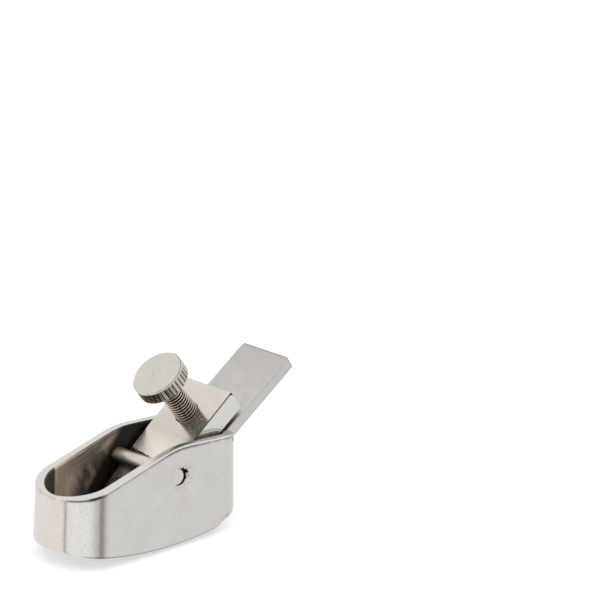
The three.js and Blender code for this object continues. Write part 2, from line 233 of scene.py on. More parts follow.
# %% Outlines in plan
NOSE_REACH, HEEL_REACH, NOSE_DEPTH = 15.7, 19.0, 6.2
BODY_HALF, WELL_HALF, WELL_END = 8.649, 6.65, 17.0
WALL = np.array([-NOSE_REACH, HEEL_REACH, BODY_HALF, 3.0, 2.12])
WELL = np.array([-15.0, WELL_END, WELL_HALF, 1.2, 1.8])
NOSE_CENTRE = NOSE_DEPTH - NOSE_REACH
NOSE_STEPS, SIDE_STEPS, CORNER_STEPS, HEEL_STEPS = 150, 96, 14, 30


def plan(shape, outset=0.0):
    """Closed outline: x = c - a |cos|^(2/n), y = b |sin|^(2/n), then sides, corners and heel.

    A shape is its tip, heel, half width, corner radius and fullness n, drawn out by an outset.
    """
    tip, heel, half, corner, fullness = shape + np.array([-1, 1, 1, 1, 0]) * outset
    turn = np.pi * (np.arange(NOSE_STEPS + 1) / NOSE_STEPS - 0.5)
    power = 2 / fullness
    nose_x = NOSE_CENTRE - (NOSE_CENTRE - tip) * np.abs(np.cos(turn)) ** power
    nose_y = np.sign(turn) * half * np.abs(np.sin(turn)) ** power
    side = np.arange(1, SIDE_STEPS) / SIDE_STEPS
    bend = np.pi / 2 * np.arange(CORNER_STEPS + 1) / CORNER_STEPS
    side_x = NOSE_CENTRE + (heel - corner - NOSE_CENTRE) * side
    side_x = np.append(side_x, heel - corner + corner * np.sin(bend))
    side_y = np.append(0 * side + half, half - corner + corner * np.cos(bend))
    across = (half - corner) * (1 - 2 * np.arange(1, HEEL_STEPS) / HEEL_STEPS)
    x = np.concatenate([nose_x, side_x, 0 * across + heel, side_x[::-1]])
    y = np.concatenate([nose_y, side_y, across, -side_y[::-1]])
    return np.stack([x, y], -1)


print(len(plan(WALL)), "points round the wall")

# %% [markdown]
# ## The rim seen from the side
# The rim rises from the nose in a slope, turns over a soft shoulder and runs level to the heel.

# %% Rim height
RIM_HEIGHT, RIM_SLOPE = 18.3, np.radians(18.1)
SHOULDER_REACH, SHOULDER_RADIUS = 4.8, 17.0
SHOULDER_END = SHOULDER_REACH + SHOULDER_RADIUS * np.tan(RIM_SLOPE / 2)
SHOULDER_START = SHOULDER_END - SHOULDER_RADIUS * np.sin(RIM_SLOPE)


def rim_height(x):
    """A sloping line, an arc that touches it, and a level line."""
    slope = RIM_HEIGHT - (SHOULDER_REACH - x) * np.tan(RIM_SLOPE)
    over = np.clip(x - SHOULDER_END, -SHOULDER_RADIUS, 0)
    shoulder = RIM_HEIGHT - SHOULDER_RADIUS + np.sqrt(SHOULDER_RADIUS**2 - over**2)
    return np.where(x < SHOULDER_START, slope, shoulder)


print("rim at the nose", rim_height(np.array(-NOSE_REACH)).round(2))

# %% [markdown]
# ## The casting as one skin
# A casting has draft: its walls spread a little downwards, so that the pattern leaves the sand.
# The skin starts under the sole, turns up round the lower edge, climbs the drafted wall, rolls
# over the rim, and goes down the hollow to its floor. It could be a sculpted block, but a
# profile carried round the plan keeps the wall's thickness and every rounding in hand.

# %% Profile round the plan
DRAFT = np.radians(1.0)
PLAN_MIDDLE = (HEEL_REACH - NOSE_REACH) / 2
PLAN_HALF = (HEEL_REACH + NOSE_REACH) / 2
LOWER_EDGE, HEEL_EDGE, RIM_EDGE, HEEL_RIM_EDGE, WELL_EDGE = 0.5, 2.1, 0.46, 0.55, 0.5
FLOOR_INSET, FLOOR_FILLET, HEEL_FROM, HEEL_FULL = 2.6, 0.7, 13.5, 16.0
SPINE_START, SPINE_END = -11.0, 14.0
SOLE_ROWS, EDGE_ROWS, WALL_ROWS = 16, 9, 30
LAND_ROWS, LIP_ROWS, HOLLOW_ROWS, FLOOR_ROWS, CORE_ROWS = 5, 5, 22, 14, 10
print("the wall spreads", round(np.tan(DRAFT) * RIM_HEIGHT, 2), "mm from the rim to the sole")


# %% Places in a row
def smooth(value, low, high):
    """Smoothstep from 0 at low to 1 at high."""
    share = np.clip((value - low) / (high - low), 0, 1)
    return share * share * (3 - 2 * share)


def spread(places, z):
    """The outline widened by the draft at a height."""
    wider = np.tan(DRAFT) * (RIM_HEIGHT - z)
    x = PLAN_MIDDLE + (places[..., 0] - PLAN_MIDDLE) * (1 + wider / PLAN_HALF)
    return np.stack([x, places[..., 1] * (1 + wider / BODY_HALF)], -1)


def to_spine(places, share):
    """Places that keep a share of their way from the middle line, where all rows meet."""
    x = np.clip(places[:, 0], SPINE_START, SPINE_END)
    middle = np.stack([x, np.zeros_like(x)], -1)
    return middle + (places - middle) * share


def raised(places, z):
    """Places in plan and their heights as points."""
    return np.insert(places, 2, z, 1)


def over_barrel(places, inset=0.0, rise=0.0):
    """Places so much over the sole's barrel, or over the floor at an inset."""
    return raised(places, barrel_height(*places.T, inset) + rise)


def under_rim(places, drop=0.0):
    """Places so much under the rim's height."""
    return raised(places, rim_height(places[:, 0]) - drop)


# %% Rows outside and inside
def outer_rows(inset):
    """Rows from the middle of the sole to the rim's land, all drawn in by an inset."""
    rim = plan(WALL, -inset)
    heel = smooth(rim[:, 0], HEEL_FROM, HEEL_FULL)
    radius = LOWER_EDGE + (HEEL_EDGE - LOWER_EDGE) * heel
    deepest = plan(WALL, -inset - HEEL_EDGE)
    turns = np.linspace(0, np.pi / 2, EDGE_ROWS)

    def lower_edge(turn):
        place = rim + (deepest - rim) * (radius * (1 - np.sin(turn)) / HEEL_EDGE)[:, None]
        rise = radius * (1 - np.cos(turn)) + inset
        return over_barrel(spread(place, barrel_height(*place.T) + rise), 0, rise)

    edge = lower_edge(0)[:, :2]
    shares = np.linspace(0, 1, SOLE_ROWS)[:-1]
    rows = [over_barrel(to_spine(edge, share), 0, inset) for share in shares]
    rows += [lower_edge(turn) for turn in turns]

    thickness = np.linalg.norm(plan(WALL) - plan(WELL), axis=1)
    rolled = np.minimum(RIM_EDGE + (HEEL_RIM_EDGE - RIM_EDGE) * heel, 0.5 * thickness)
    top = rim_height(rim[:, 0])
    foot = rows[-1][:, 2]
    for share in np.linspace(0, 1, WALL_ROWS)[1:-1]:
        z = foot + (top - rolled - foot) * share
        rows.append(raised(spread(rim, z), z))
    for turn in turns:
        inward = (rolled * (1 - np.cos(turn)))[:, None]
        place = spread(rim + (plan(WALL, -inset - 1) - rim) * inward, top)
        rows.append(under_rim(place, rolled * (1 - np.sin(turn)) + inset))
    return rows


def inner_rows(land):
    """Rows from the rim's land down the hollow to the middle of its floor."""
    wall, lip, inner = (plan(WELL, outset) for outset in (0, WELL_EDGE, -FLOOR_FILLET))
    turns = np.linspace(0, np.pi / 2, LIP_ROWS)
    shares = np.linspace(0, 1, LAND_ROWS)[1:-1]
    rows = [under_rim(land + (lip - land) * share) for share in shares]
    for turn in turns:
        place = lip + (wall - lip) * np.sin(turn)
        rows.append(under_rim(place, WELL_EDGE * (1 - np.cos(turn))))
    top = rows[-1][:, 2]
    foot = barrel_height(*inner.T, FLOOR_INSET) + FLOOR_FILLET
    shares = np.linspace(0, 1, HOLLOW_ROWS)[1:-1]
    rows += [raised(wall, top + (foot - top) * share) for share in shares]
    for turn in turns:
        place = wall + (inner - wall) * (1 - np.cos(turn))
        rows.append(raised(place, foot - FLOOR_FILLET * np.sin(turn)))
    shares = np.linspace(1, 0, FLOOR_ROWS)[1:]
    return rows + [over_barrel(to_spine(inner, share), FLOOR_INSET) for share in shares]


# %% The casting's skin
def casting(name):
    """The ring wall and sole with its hollow. On the worn flat, no point lies under the bench."""
    rows = outer_rows(0.0)
    rows += inner_rows(rows[-1][:, :2])
    piece = skin(name, np.stack(rows))
    places = triples(piece.data.vertices, "co")
    places[:, 2] = np.maximum(places[:, 2], 0)
    piece.data.vertices.foreach_set("co", places.ravel())
    piece.data.update()
    return piece


body = casting("body_casting")

# %% [markdown]
# ## Ramp and toe
# Inside, a ramp carries the blade and a toe block stands in front of the mouth. On the real
# casting they are one with the wall. Here they are two blocks that run into the wall's
# thickness, trimmed to a core a little smaller than the casting, and then joined to it.

# %% Lengths of the blocks
SEAT_GAP, MOUTH_GAP, RAMP_HEIGHT, TOE_HEIGHT = 0.1, 0.9, 6.5, 5.6
SLOT_HALF, BLOCK_HALF, CORE_INSET, SHARP = 6.2, 7.9, 0.35, 0.01
RAMP_EDGE, TOE_EDGE, BELOW_SOLE, BEFORE_NOSE, OVER_RIM = 0.25, 0.2, -1.0, -18.0, 24.0
print("the blade's slot is", 2 * SLOT_HALF, "mm wide")


# %% Outlines and plates
def ring_outline(corners, cuts, steps=6):
    """A closed outline whose corners are quadratic curves, cut so far before and after."""
    corners = np.asarray(corners, float)
    cuts = np.broadcast_to(cuts, corners.shape)
    before = np.roll(corners, 1, 0) - corners
    after = np.roll(corners, -1, 0) - corners
    start = corners + before / np.linalg.norm(before, axis=1)[:, None] * cuts[:, :1]
    end = corners + after / np.linalg.norm(after, axis=1)[:, None] * cuts[:, 1:]
    start, corners, end = start[:, None], corners[:, None], end[:, None]
    t = np.linspace(0, 1, steps)[None, :, None]
    return ((1 - t) ** 2 * start + 2 * t * (1 - t) * corners + t**2 * end).reshape(-1, 2)


def drawn_in(outline, inset):
    """The outline moved square to itself by an inset, corners mitred."""
    ahead = np.roll(outline, -1, 0) - outline
    ahead /= np.linalg.norm(ahead, axis=1)[:, None]
    normal = np.stack([-ahead[:, 1], ahead[:, 0]], -1)
    x, z = outline.T
    area = np.sum(x * np.roll(z, -1) - np.roll(x, -1) * z)
    normal *= np.sign(area)
    before = np.roll(normal, 1, 0)
    mitre = (normal + before) / (1 + np.sum(normal * before, axis=1))[:, None]
    return outline + mitre * inset


def plate(name, outline, half, edge=0.0, steps=5):
    """A side outline carried across from -half to half, its two rims rounded by edge."""
    bends = np.linspace(0, np.pi / 2, steps) if edge else np.array([np.pi / 2])
    insets = edge * (1 - np.sin(bends))
    reach = half - edge * (1 - np.cos(bends))
    insets, reach = np.concatenate([insets, insets[::-1]]), np.concatenate([-reach, reach[::-1]])
    rows = [point_at(drawn_in(outline, inset), y) for inset, y in zip(insets, reach)]
    corners = np.arange(len(rows) * len(outline)).reshape(len(rows), -1)
    return skin(name, np.stack(rows), corners[[0, -1]].tolist())


# %% Ramp and toe block
def core():
    """The casting without its hollow, a third of a millimetre smaller all round."""
    rows = outer_rows(CORE_INSET)
    top = rows[-1][:, :2]
    shares = np.linspace(1, 0, CORE_ROWS)[1:]
    rows += [under_rim(to_spine(top, share), CORE_INSET) for share in shares]
    return skin("core", np.stack(rows))


ramp_foot = bed(BELOW_SOLE / np.sin(BED), -SEAT_GAP)
ramp_top = bed(RAMP_HEIGHT / np.sin(BED), -SEAT_GAP)
ramp_corners = [ramp_foot, ramp_top, [ramp_top[0], BELOW_SOLE]]
ramp_cuts = [[SHARP], [RAMP_EDGE], [SHARP]]
toe_corners = [[x, BELOW_SOLE] for x in (BEFORE_NOSE, cutting_edge[0])]
toe_corners += [[x, TOE_HEIGHT] for x in (cutting_edge[0], BEFORE_NOSE)]
toe_cuts = [[SHARP], [SHARP], [TOE_EDGE], [SHARP]]
for title, corners, cuts in [("ramp", ramp_corners, ramp_cuts), ("toe", toe_corners, toe_cuts)]:
    block = plate(title, ring_outline(corners, cuts), BLOCK_HALF)
    combine(block, core(), "INTERSECT")
    combine(body, block, "UNION")

# %% [markdown]
# ## Mouth and notch
# The throat opens the sole in front of the cutting edge. The notch lets the blade out over the
# heel. Both are plain outlines carried across, as a file or a cutter would leave them.

# %% Cuts
THROAT_LEAN, OVER_BLOCKS = np.radians(8), 1
NOTCH_FROM, NOTCH_TO = HEEL_REACH - 3, HEEL_REACH + 2
throat_top = max(RAMP_HEIGHT, TOE_HEIGHT) + OVER_BLOCKS
mouth_front = cutting_edge[0] - MOUTH_GAP
throat_front = mouth_front - (throat_top - BELOW_SOLE) * np.tan(THROAT_LEAN)
throat_corners = [ramp_foot, bed(throat_top / np.sin(BED), -SEAT_GAP)]
throat_corners += [[throat_front, throat_top], [mouth_front, BELOW_SOLE]]
notch_ends = [(x - BED_START[0]) / np.cos(BED) for x in (NOTCH_FROM, NOTCH_TO)]
notch_corners = [bed(end, -SEAT_GAP) for end in notch_ends]
notch_corners += [[corner[0], OVER_RIM] for corner in notch_corners[::-1]]
for title, corners in [("throat", throat_corners), ("notch", notch_corners)]:
    opening = plate(title, ring_outline(corners, SHARP, 2), SLOT_HALF)
    combine(body, opening, "DIFFERENCE")

# %% [markdown]
# ## The pin's line
# The hole is drilled by hand, so the pin lies a little askew: turned in plan and dropped to
# one side. Its holes, its chips, the rod itself and its seat in the cap are all rings about
# this one line. The near hole's mouth is worn and chipped towards the heel, which leaves the
# dark ragged crescent beside the pin's end.

# %% Holes
PIN_REACH, PIN_HEIGHT, PIN_RADIUS = 4.4, 13.3, 1.4
PIN_SKEW, PIN_DROP = np.radians(2.0), np.radians(1.0)


def turned_between(first, second, angle):
    """The matrix that turns points by an angle from one axis towards another."""
    matrix = np.eye(3)
    matrix[first, first] = matrix[second, second] = np.cos(angle)
    matrix[second, first], matrix[first, second] = np.sin(angle), -np.sin(angle)
    return matrix


PIN_SIDE, PIN_AXIS, PIN_UP = (turned_between(0, 1, PIN_SKEW) @ turned_between(1, 2, PIN_DROP)).T


def circles(radius, steps=96):
    """Circles square to the pin's axis about its middle: c + r (cos t side + sin t up)."""
    turn = 2 * np.pi * np.arange(steps)[:, None] / steps
    spokes = np.cos(turn) * PIN_SIDE + np.sin(turn) * PIN_UP
    return [PIN_REACH, 0, PIN_HEIGHT] + np.asarray(radius)[:, None, None] * spokes


def rod(name, rings, steps=96):
    """Rings (length, radius, shift, rise) on the pin's axis, closed to a point at both ends."""
    rings = np.asarray(rings, float)[[0, *range(len(rings)), -1]]
    rings[[0, -1], 1] = 0
    centres = rings[:, [0, 2, 3]] @ [PIN_AXIS, PIN_SIDE, PIN_UP]
    return skin(name, circles(rings[:, 1], steps) + centres[:, None])


OUTSIDE, CHIP_FOOT, CHIP_FLARE, CHIP_TAPER = -12, -7.8, 2.2, 0.6
WORN_MOUTH = [(OUTSIDE, 1.52, 0.43, -0.1), (-7.6, 1.5, 0.4, -0.08), (-7.3, 1.41, 0, 0)]
NEAT_MOUTH = [(8.35, 1.41, 0, 0), (8.6, 1.5, 0.03, 0), (-OUTSIDE, 1.53, 0.03, 0)]
CHIPS = [(1.7, 0.75, 0.42), (2.2, 0.55, 0.24), (1.25, 1.25, 0.26), (1.75, -0.4, 0.3)]
combine(body, rod("bore", WORN_MOUTH + NEAT_MOUTH), "DIFFERENCE")
for shift, height, radius in CHIPS:
    cone = [(OUTSIDE, CHIP_FLARE), (CHIP_FOOT, CHIP_TAPER)]
    cone = [(length, flare * radius, shift, height) for length, flare in cone]
    combine(body, rod("chip", cone, 16), "DIFFERENCE")
print("the casting has", len(body.data.polygons), "faces")

# %% [markdown]
# ## The cross pin
# A plain rod, driven through both walls and dressed flush with them. Each end follows the
# drafted wall, with a slight rounding where the file left it.

# %% Pin
PIN_EDGE, PIN_CROWN = 0.02, 0.02


def wall_length(disc, sign):
    """Length along the pin's axis at which a line square to the middle plane meets the wall."""
    length = np.full(disc.shape[:-1], sign * BODY_HALF)
    for _ in range(4):
        place = disc + length[..., None] * PIN_AXIS
        wall = BODY_HALF + np.tan(DRAFT) * (RIM_HEIGHT - place[..., 2])
        length = length + sign * (wall - sign * place[..., 1])
    return length


def cross_pin(name):
    """Rings from the middle of one end over its rounded edge along the rod to the other end."""
    bend = np.linspace(0, np.pi / 2, 6)
    flat = np.linspace(0, PIN_RADIUS - PIN_EDGE, 7)[:-1]
    radius = np.concatenate([flat, PIN_RADIUS - PIN_EDGE * (1 - np.sin(bend))])
    crown, rounding = PIN_CROWN * (flat / PIN_RADIUS) ** 2, PIN_EDGE * (1 - np.cos(bend))
    drop = np.concatenate([crown, PIN_CROWN + rounding])
    disc = circles(radius)
    ends = []
    for sign in (-1, 1):
        length = wall_length(disc, sign) - sign * drop[:, None]
        ends.append(disc + length[..., None] * PIN_AXIS)
    share = np.linspace(0, 1, 30)[1:-1, None, None]
    middle = ends[0][-1] + (ends[1][-1] - ends[0][-1]) * share
    return skin(name, np.concatenate([ends[0], middle, ends[1][::-1]]))


pin = cross_pin("pin_rod")

# %% [markdown]
# ## The blade
# A thick flat bar of tool steel, ground flat on all sides and bevelled underneath. A rounded
# rectangle carried along the bed gives the bar. Towards the edge its underside climbs to the
# top face, and the edge is cambered as the sole is.

# %% Bars with a rounded section
def bar_section(half, low, high, radius, across=12, upward=3, corner=5):
    """Rounded rectangles, their corners arcs about centres drawn in by the radius.

    One side and one corner of a square, as y + i n, are turned on by a quarter four times.
    """
    flats = [np.linspace(-1, 1, count + 1)[1:-1] for count in (upward, across)]
    bend = np.linspace(0, np.pi / 2, corner)
    side, turn = [], []
    for quarter in range(4):
        flat = flats[quarter % 2]
        one_side = np.concatenate([1 + 1j * flat, np.full(corner, 1 + 1j)])
        side.append(one_side * 1j**quarter)
        turn.append(np.concatenate([0 * flat, bend]) + quarter * np.pi / 2)
    side, turn = np.concatenate(side), np.concatenate(turn)
    half, low, high, radius = (np.asarray(v, float)[:, None] for v in (half, low, high, radius))
    y = side.real * (half - radius) + radius * np.cos(turn)
    n = (low + high) / 2 + side.imag * ((high - low) / 2 - radius) + radius * np.sin(turn)
    return y, n


BLADE_HALF, BLADE_TAIL, BLADE_EDGE, BLADE_CORNER = 6.0, 44.9, 0.14, 0.5
BEVEL, CAMBER_FADE, LEAST_RADIUS, THIN_SHARE, TAIL_ROWS = np.radians(28), 3, 0.004, 0.45, 5
bevel_start = edge_distance + BLADE_THICKNESS / np.tan(BEVEL)


def blade_bar(name):
    """Sections from the cutting edge to the tail, whose far corners are chamfered."""
    bend = np.linspace(0, np.pi / 2, TAIL_ROWS)
    bevel = edge_distance + (bevel_start - edge_distance) * np.linspace(0, 1, 12)
    shaft = np.linspace(bevel_start, BLADE_TAIL - BLADE_CORNER, 60)[1:]
    chamfer = np.linspace(BLADE_TAIL - BLADE_CORNER, BLADE_TAIL - BLADE_EDGE, 6)[1:-1]
    tail = BLADE_TAIL - BLADE_EDGE * (1 - np.sin(bend))
    s = np.concatenate([bevel, shaft, chamfer, tail])
    inset = np.concatenate([np.zeros(len(s) - TAIL_ROWS), BLADE_EDGE * (1 - np.cos(bend))])
    low = np.clip((bevel_start - s) * np.tan(BEVEL), 0, BLADE_THICKNESS) + inset
    high = np.full(len(s), BLADE_THICKNESS) - inset
    half = BLADE_HALF - np.clip(s - (BLADE_TAIL - BLADE_CORNER), 0, None) - inset
    radius = np.minimum(BLADE_EDGE, THIN_SHARE * (high - low))
    radius[-TAIL_ROWS:] = np.maximum(BLADE_EDGE - inset[-TAIL_ROWS:], LEAST_RADIUS)
    y, n = bar_section(half, low, high, radius)
    s = np.broadcast_to(s[:, None], y.shape)
    camber = y**2 / (2 * SOLE_CROSS_RADIUS * np.sin(BED))
    s = s + camber * (1 - smooth(s, bevel_start, bevel_start + CAMBER_FADE))
    points = point_at(bed(s, n), y)
    end = np.broadcast_to(points[-1].mean(0), points[-1:].shape)
    return skin(name, np.concatenate([points, end]))


blade = blade_bar("blade_bar")

# %% [markdown]
# ## The lever cap
# A thick wedge of plated brass. Its nose runs down under the pin and presses on the blade, and
# its tail carries the thumb screw. A side outline carried across with rounded rims gives the
# body, and the screw's bore and the pin's seat are cut into it.

# %% Cap
CAP_HALF, CAP_EDGE, CAP_GAP = 5.95, 0.13, 0.1
NOSE_ANGLE, TOP_ANGLE, UNDER_ANGLE = np.radians(46), np.radians(40.2), np.radians(38.8)
SEAT_DEPTH, SEAT_CLEARANCE = 0.56, 0.06
BEHIND_PIN, BEFORE_PIN, LIP_LENGTH = 3.79, 11.0, 1.6
TOP_LENGTH, TAIL_TO_SCREW, TAIL_DEPTH, LIP_RISE = 14.8, 6.44, 3.85, 0.8
pin_centre = np.array([PIN_REACH, PIN_HEIGHT])
seat_radius = PIN_RADIUS + SEAT_CLEARANCE
cap_break = along(pin_centre, NOSE_ANGLE, BEHIND_PIN, SEAT_DEPTH - seat_radius)
cap_tail = along(cap_break, TOP_ANGLE, TOP_LENGTH)
screw_foot = along(cap_tail, TOP_ANGLE, -TAIL_TO_SCREW)
tail_foot = along(cap_tail, TOP_ANGLE, 0, -TAIL_DEPTH)
nose_end = along(pin_centre, NOSE_ANGLE, -BEFORE_PIN, SEAT_DEPTH - seat_radius)
lip_distance = (nose_end - BED_START) @ tilted(BED)[0, ::2]
lip_front, lip_back = bed([lip_distance, lip_distance + LIP_LENGTH], BLADE_THICKNESS + CAP_GAP)
under_length = (tail_foot[0] - lip_back[0]) / np.cos(UNDER_ANGLE) - LIP_RISE
under_end = along(tail_foot, UNDER_ANGLE, -under_length)
cap_corners = [cap_break, nose_end, lip_back, under_end, tail_foot, cap_tail]
nose_cut = np.linalg.norm(nose_end - lip_front)
cap_cuts = [[5, 3.3], [1.1, nose_cut], [0.2, 0.2], [0.2, 0.2], [1, 1], [0.22, 0.22]]
cap = plate("cap_wedge", ring_outline(cap_corners, cap_cuts, 9), CAP_HALF, CAP_EDGE)


def screw_place(points):
    """From the screw's own frame, its foot on the cap's top and Z along its axis, to upright."""
    return points @ tilted(TOP_ANGLE) + point_at(screw_foot)


def turned(radius, height, steps):
    """Points of a profile carried round the screw's axis: rows by columns."""
    turn = 2 * np.pi * np.arange(steps) / steps
    radius = np.broadcast_to(radius, (len(height), steps))
    height = np.broadcast_to(np.asarray(height, float)[:, None], radius.shape)
    return screw_place(np.stack([radius * np.cos(turn), radius * np.sin(turn), height], -1))


SCREW_STEPS, THREAD_RADIUS, BORE_CLEARANCE, BORE_BREAK = 72, 2.1, 0.04, 0.12
BORE_FROM, BORE_TO, SEAT_REACH = -9, 3, 9
wide = THREAD_RADIUS + BORE_CLEARANCE
mouth = wide + BORE_BREAK
bore_radius = np.array([0, wide, wide, mouth, mouth, 0])[:, None]
bore_height = [BORE_FROM, BORE_FROM, -BORE_BREAK, 0, BORE_TO, BORE_TO]
bore = turned(bore_radius, bore_height, SCREW_STEPS)
combine(cap, skin("screw_bore", bore), "DIFFERENCE")
seat = [(length, seat_radius, 0, 0) for length in (-SEAT_REACH, SEAT_REACH)]
combine(cap, rod("pin_seat", seat), "DIFFERENCE")

# %% [markdown]
# ## The thumb screw's shank
# The thread is a ridge that climbs one pitch a turn. On the grid the radius is a rounded wave of
# height over pitch less the turn, so the ridge is a true helix. The tip is chamfered, and a
# thin end goes up through the head and is riveted over.

# %% Thread
THREAD_PITCH, THREAD_DEPTH, PITCH_ROWS = 0.6, 0.34, 16
THREAD_ROOT, THREAD_CREST, CLEAN_LIT_FROM, TIP_CHAMFER = 0.06, 0.82, 0.55, 0.8
HEAD_HEIGHT, HEAD_THICKNESS, HEAD_GAP = 10.82, 2.69, 0.06
HEAD_FOOT = HEAD_HEIGHT - HEAD_THICKNESS
RIVET_RADIUS, RIVET_LENGTH, RIVET_ROLL = 0.8, 0.5, 0.03
screw_raise = (screw_foot - BED_START) @ tilted(BED)[2, ::2]
tilt = TOP_ANGLE - BED
blade_depth = (screw_raise - BLADE_THICKNESS - CAP_GAP) / np.cos(tilt)
tip = (THREAD_RADIUS - TIP_CHAMFER) * np.tan(tilt) - blade_depth


def threaded_shank(name):
    """Radius = least of the thread's wave and the chamfered blank, then the rivet's neck.

    The number kept for the finish is 1 on the ridge and falls off faster under it, where the
    finish paints dirt and shade.
    """
    shoulder = HEAD_FOOT - HEAD_GAP
    z = np.linspace(tip, shoulder, int((shoulder - tip) / THREAD_PITCH * PITCH_ROWS))
    phase = (z[:, None] / THREAD_PITCH - np.arange(SCREW_STEPS) / SCREW_STEPS) % 1
    wave = np.abs(2 * phase - 1)
    crest = smooth(wave, THREAD_ROOT, THREAD_CREST)
    thread = THREAD_RADIUS - THREAD_DEPTH * (1 - crest)
    blank = THREAD_RADIUS - TIP_CHAMFER + (z[:, None] - tip)
    neck = RIVET_RADIUS + np.array([0, 0, RIVET_ROLL, 0, -RIVET_RADIUS])
    neck_z = HEAD_HEIGHT - np.array([HEAD_THICKNESS + HEAD_GAP, RIVET_LENGTH, RIVET_ROLL, 0, 0])
    neck = np.tile(neck[:, None], SCREW_STEPS)
    radius = np.concatenate([0 * neck[:1], np.minimum(thread, blank), neck])
    # Dirt and painted shade under each ridge: there only the very crest keeps the bright tint.
    clean_and_lit = np.where(phase > 0.5, smooth(wave, CLEAN_LIT_FROM, 1.0), crest)
    clean_and_lit = np.concatenate([clean_and_lit[:1], clean_and_lit, np.ones_like(neck)])
    points = turned(radius, np.concatenate([z[:1], z, neck_z]), SCREW_STEPS)
    return skin(name, points, numbers={"crest": clean_and_lit})


shank = threaded_shank("threaded_shank")

# %% [markdown]
# ## The thumb screw's head
# A disc with a straight knurl. Round the rim the radius follows a tooth wave, cut off by the
# chamfers above and below. The top is faced in a lathe and polished.

# %% Head
HEAD_RADIUS, HEAD_CHAMFER, HEAD_TEETH, TOOTH_DEPTH = 4.74, 0.22, 36, 0.28
TOOTH_SHARES, TOOTH_CREST, TOOTH_STEPS = [0.0, 0.52, 0.74, 0.8], [1, 1, 0, 0], 14
RUN_OUT, EYE_GAP, FLAT_END, FLAT_HOLD = 0.45, 0.04, 0.3, 0.06


def knurled_head(name):
    """Radius = least of the chamfered disc and the tooth wave, which runs out below the top."""
    steps = HEAD_TEETH * TOOTH_STEPS
    share = np.arange(steps) * HEAD_TEETH / steps % 1
    crest = smooth(np.interp(share, TOOTH_SHARES, TOOTH_CREST, period=1), 0, 1)
    face = HEAD_RADIUS - HEAD_CHAMFER
    slope = HEAD_CHAMFER * np.linspace(0, 1, 6)
    flat = np.linspace(RIVET_RADIUS + EYE_GAP, face - FLAT_END, 16)
    half = np.concatenate([flat, [face - FLAT_HOLD], face + slope])
    half_z = np.concatenate([0 * flat, [0], slope])
    wall = np.linspace(HEAD_CHAMFER, HEAD_THICKNESS - HEAD_CHAMFER, 10)[1:-1]
    radius = np.concatenate([half, np.full(len(wall), HEAD_RADIUS), half[::-1]])[:, None]
    height = np.concatenate([half_z, wall, HEAD_THICKNESS - half_z[::-1]])
    below_top = smooth(HEAD_THICKNESS - height, HEAD_CHAMFER, HEAD_CHAMFER + RUN_OUT)
    teeth = HEAD_RADIUS - TOOTH_DEPTH * (1 - crest) * below_top[:, None]
    depth = np.where(radius > teeth, crest, 1.0)
    points = turned(np.minimum(radius, teeth), height + HEAD_FOOT, steps)
    points, depth = (np.concatenate([v, v[:1]]) for v in (points, depth))
    return skin(name, points, numbers={"crest": depth})


head = knurled_head("knurled_head")

# %% [markdown]
# ## Which body carries which piece
# Each new piece stands for one solid, moves with that solid's body, and hides that solid.

# %% Ride and replace
PIECES = [
    (body, "body", "plane_body", "body_nickel"),
    (pin, "body", "cross_pin", "body_nickel"),
    (blade, "blade", "blade", "blade_steel"),
    (cap, "cap", "lever_cap", "cap_nickel"),
    (shank, "shank", "screw_shank", "screw_nickel"),
    (head, "head", "screw_head", "screw_nickel"),
]
for piece, carrier, node_name, slot in PIECES:
    shading = piece.modifiers.new("flat faces", "WEIGHTED_NORMAL")
    shading.keep_sharp = True
    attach(piece, carrier)
    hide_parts(node_name)
    print(piece.name, "rides on", carrier)

# %% [markdown]
# ## Colour and nodes
# Colours are written as they look on a screen and turned to linear light by one function. One
# small function adds any node with its settings and links, and every material below uses it.

# %% Colours and nodes
def linear(hex_colour):
    """sRGB to linear: v / 12.92 below 0.04045, else ((v + 0.055) / 1.055) to the power 2.4."""
    value = np.array([int(hex_colour[i : i + 2], 16) for i in (1, 3, 5)]) / 255
    curve = np.where(value <= 0.04045, value / 12.92, ((value + 0.055) / 1.055) ** 2.4)
    return (*curve.tolist(), 1.0)


def add(tree, kind, inputs=None, output=0, stops=(), **settings):
    """Adds a node and gives one output; an input is a value or the socket that feeds it."""
    node = tree.nodes.new("ShaderNode" + kind)
    for title, value in settings.items():
        setattr(node, title, value)
    for title, value in (inputs or {}).items():
        if isinstance(value, bpy.types.NodeSocket):
            tree.links.new(value, node.inputs[title])
        else:
            node.inputs[title].default_value = value
    if stops:
        marks = node.color_ramp.elements
        marks.remove(marks[1])
        for place, colour in stops[1:]:
            marks.new(place).color = colour
        marks[0].position, marks[0].color = stops[0]
    return node.outputs[output] if node.outputs else node


def cleared(owner):
    """The node tree of a material or a world, emptied."""
    owner.use_nodes = True
    owner.node_tree.nodes.clear()
    return owner.node_tree


print("bright nickel in linear light:", np.round(linear("#D9D8D5"), 3))
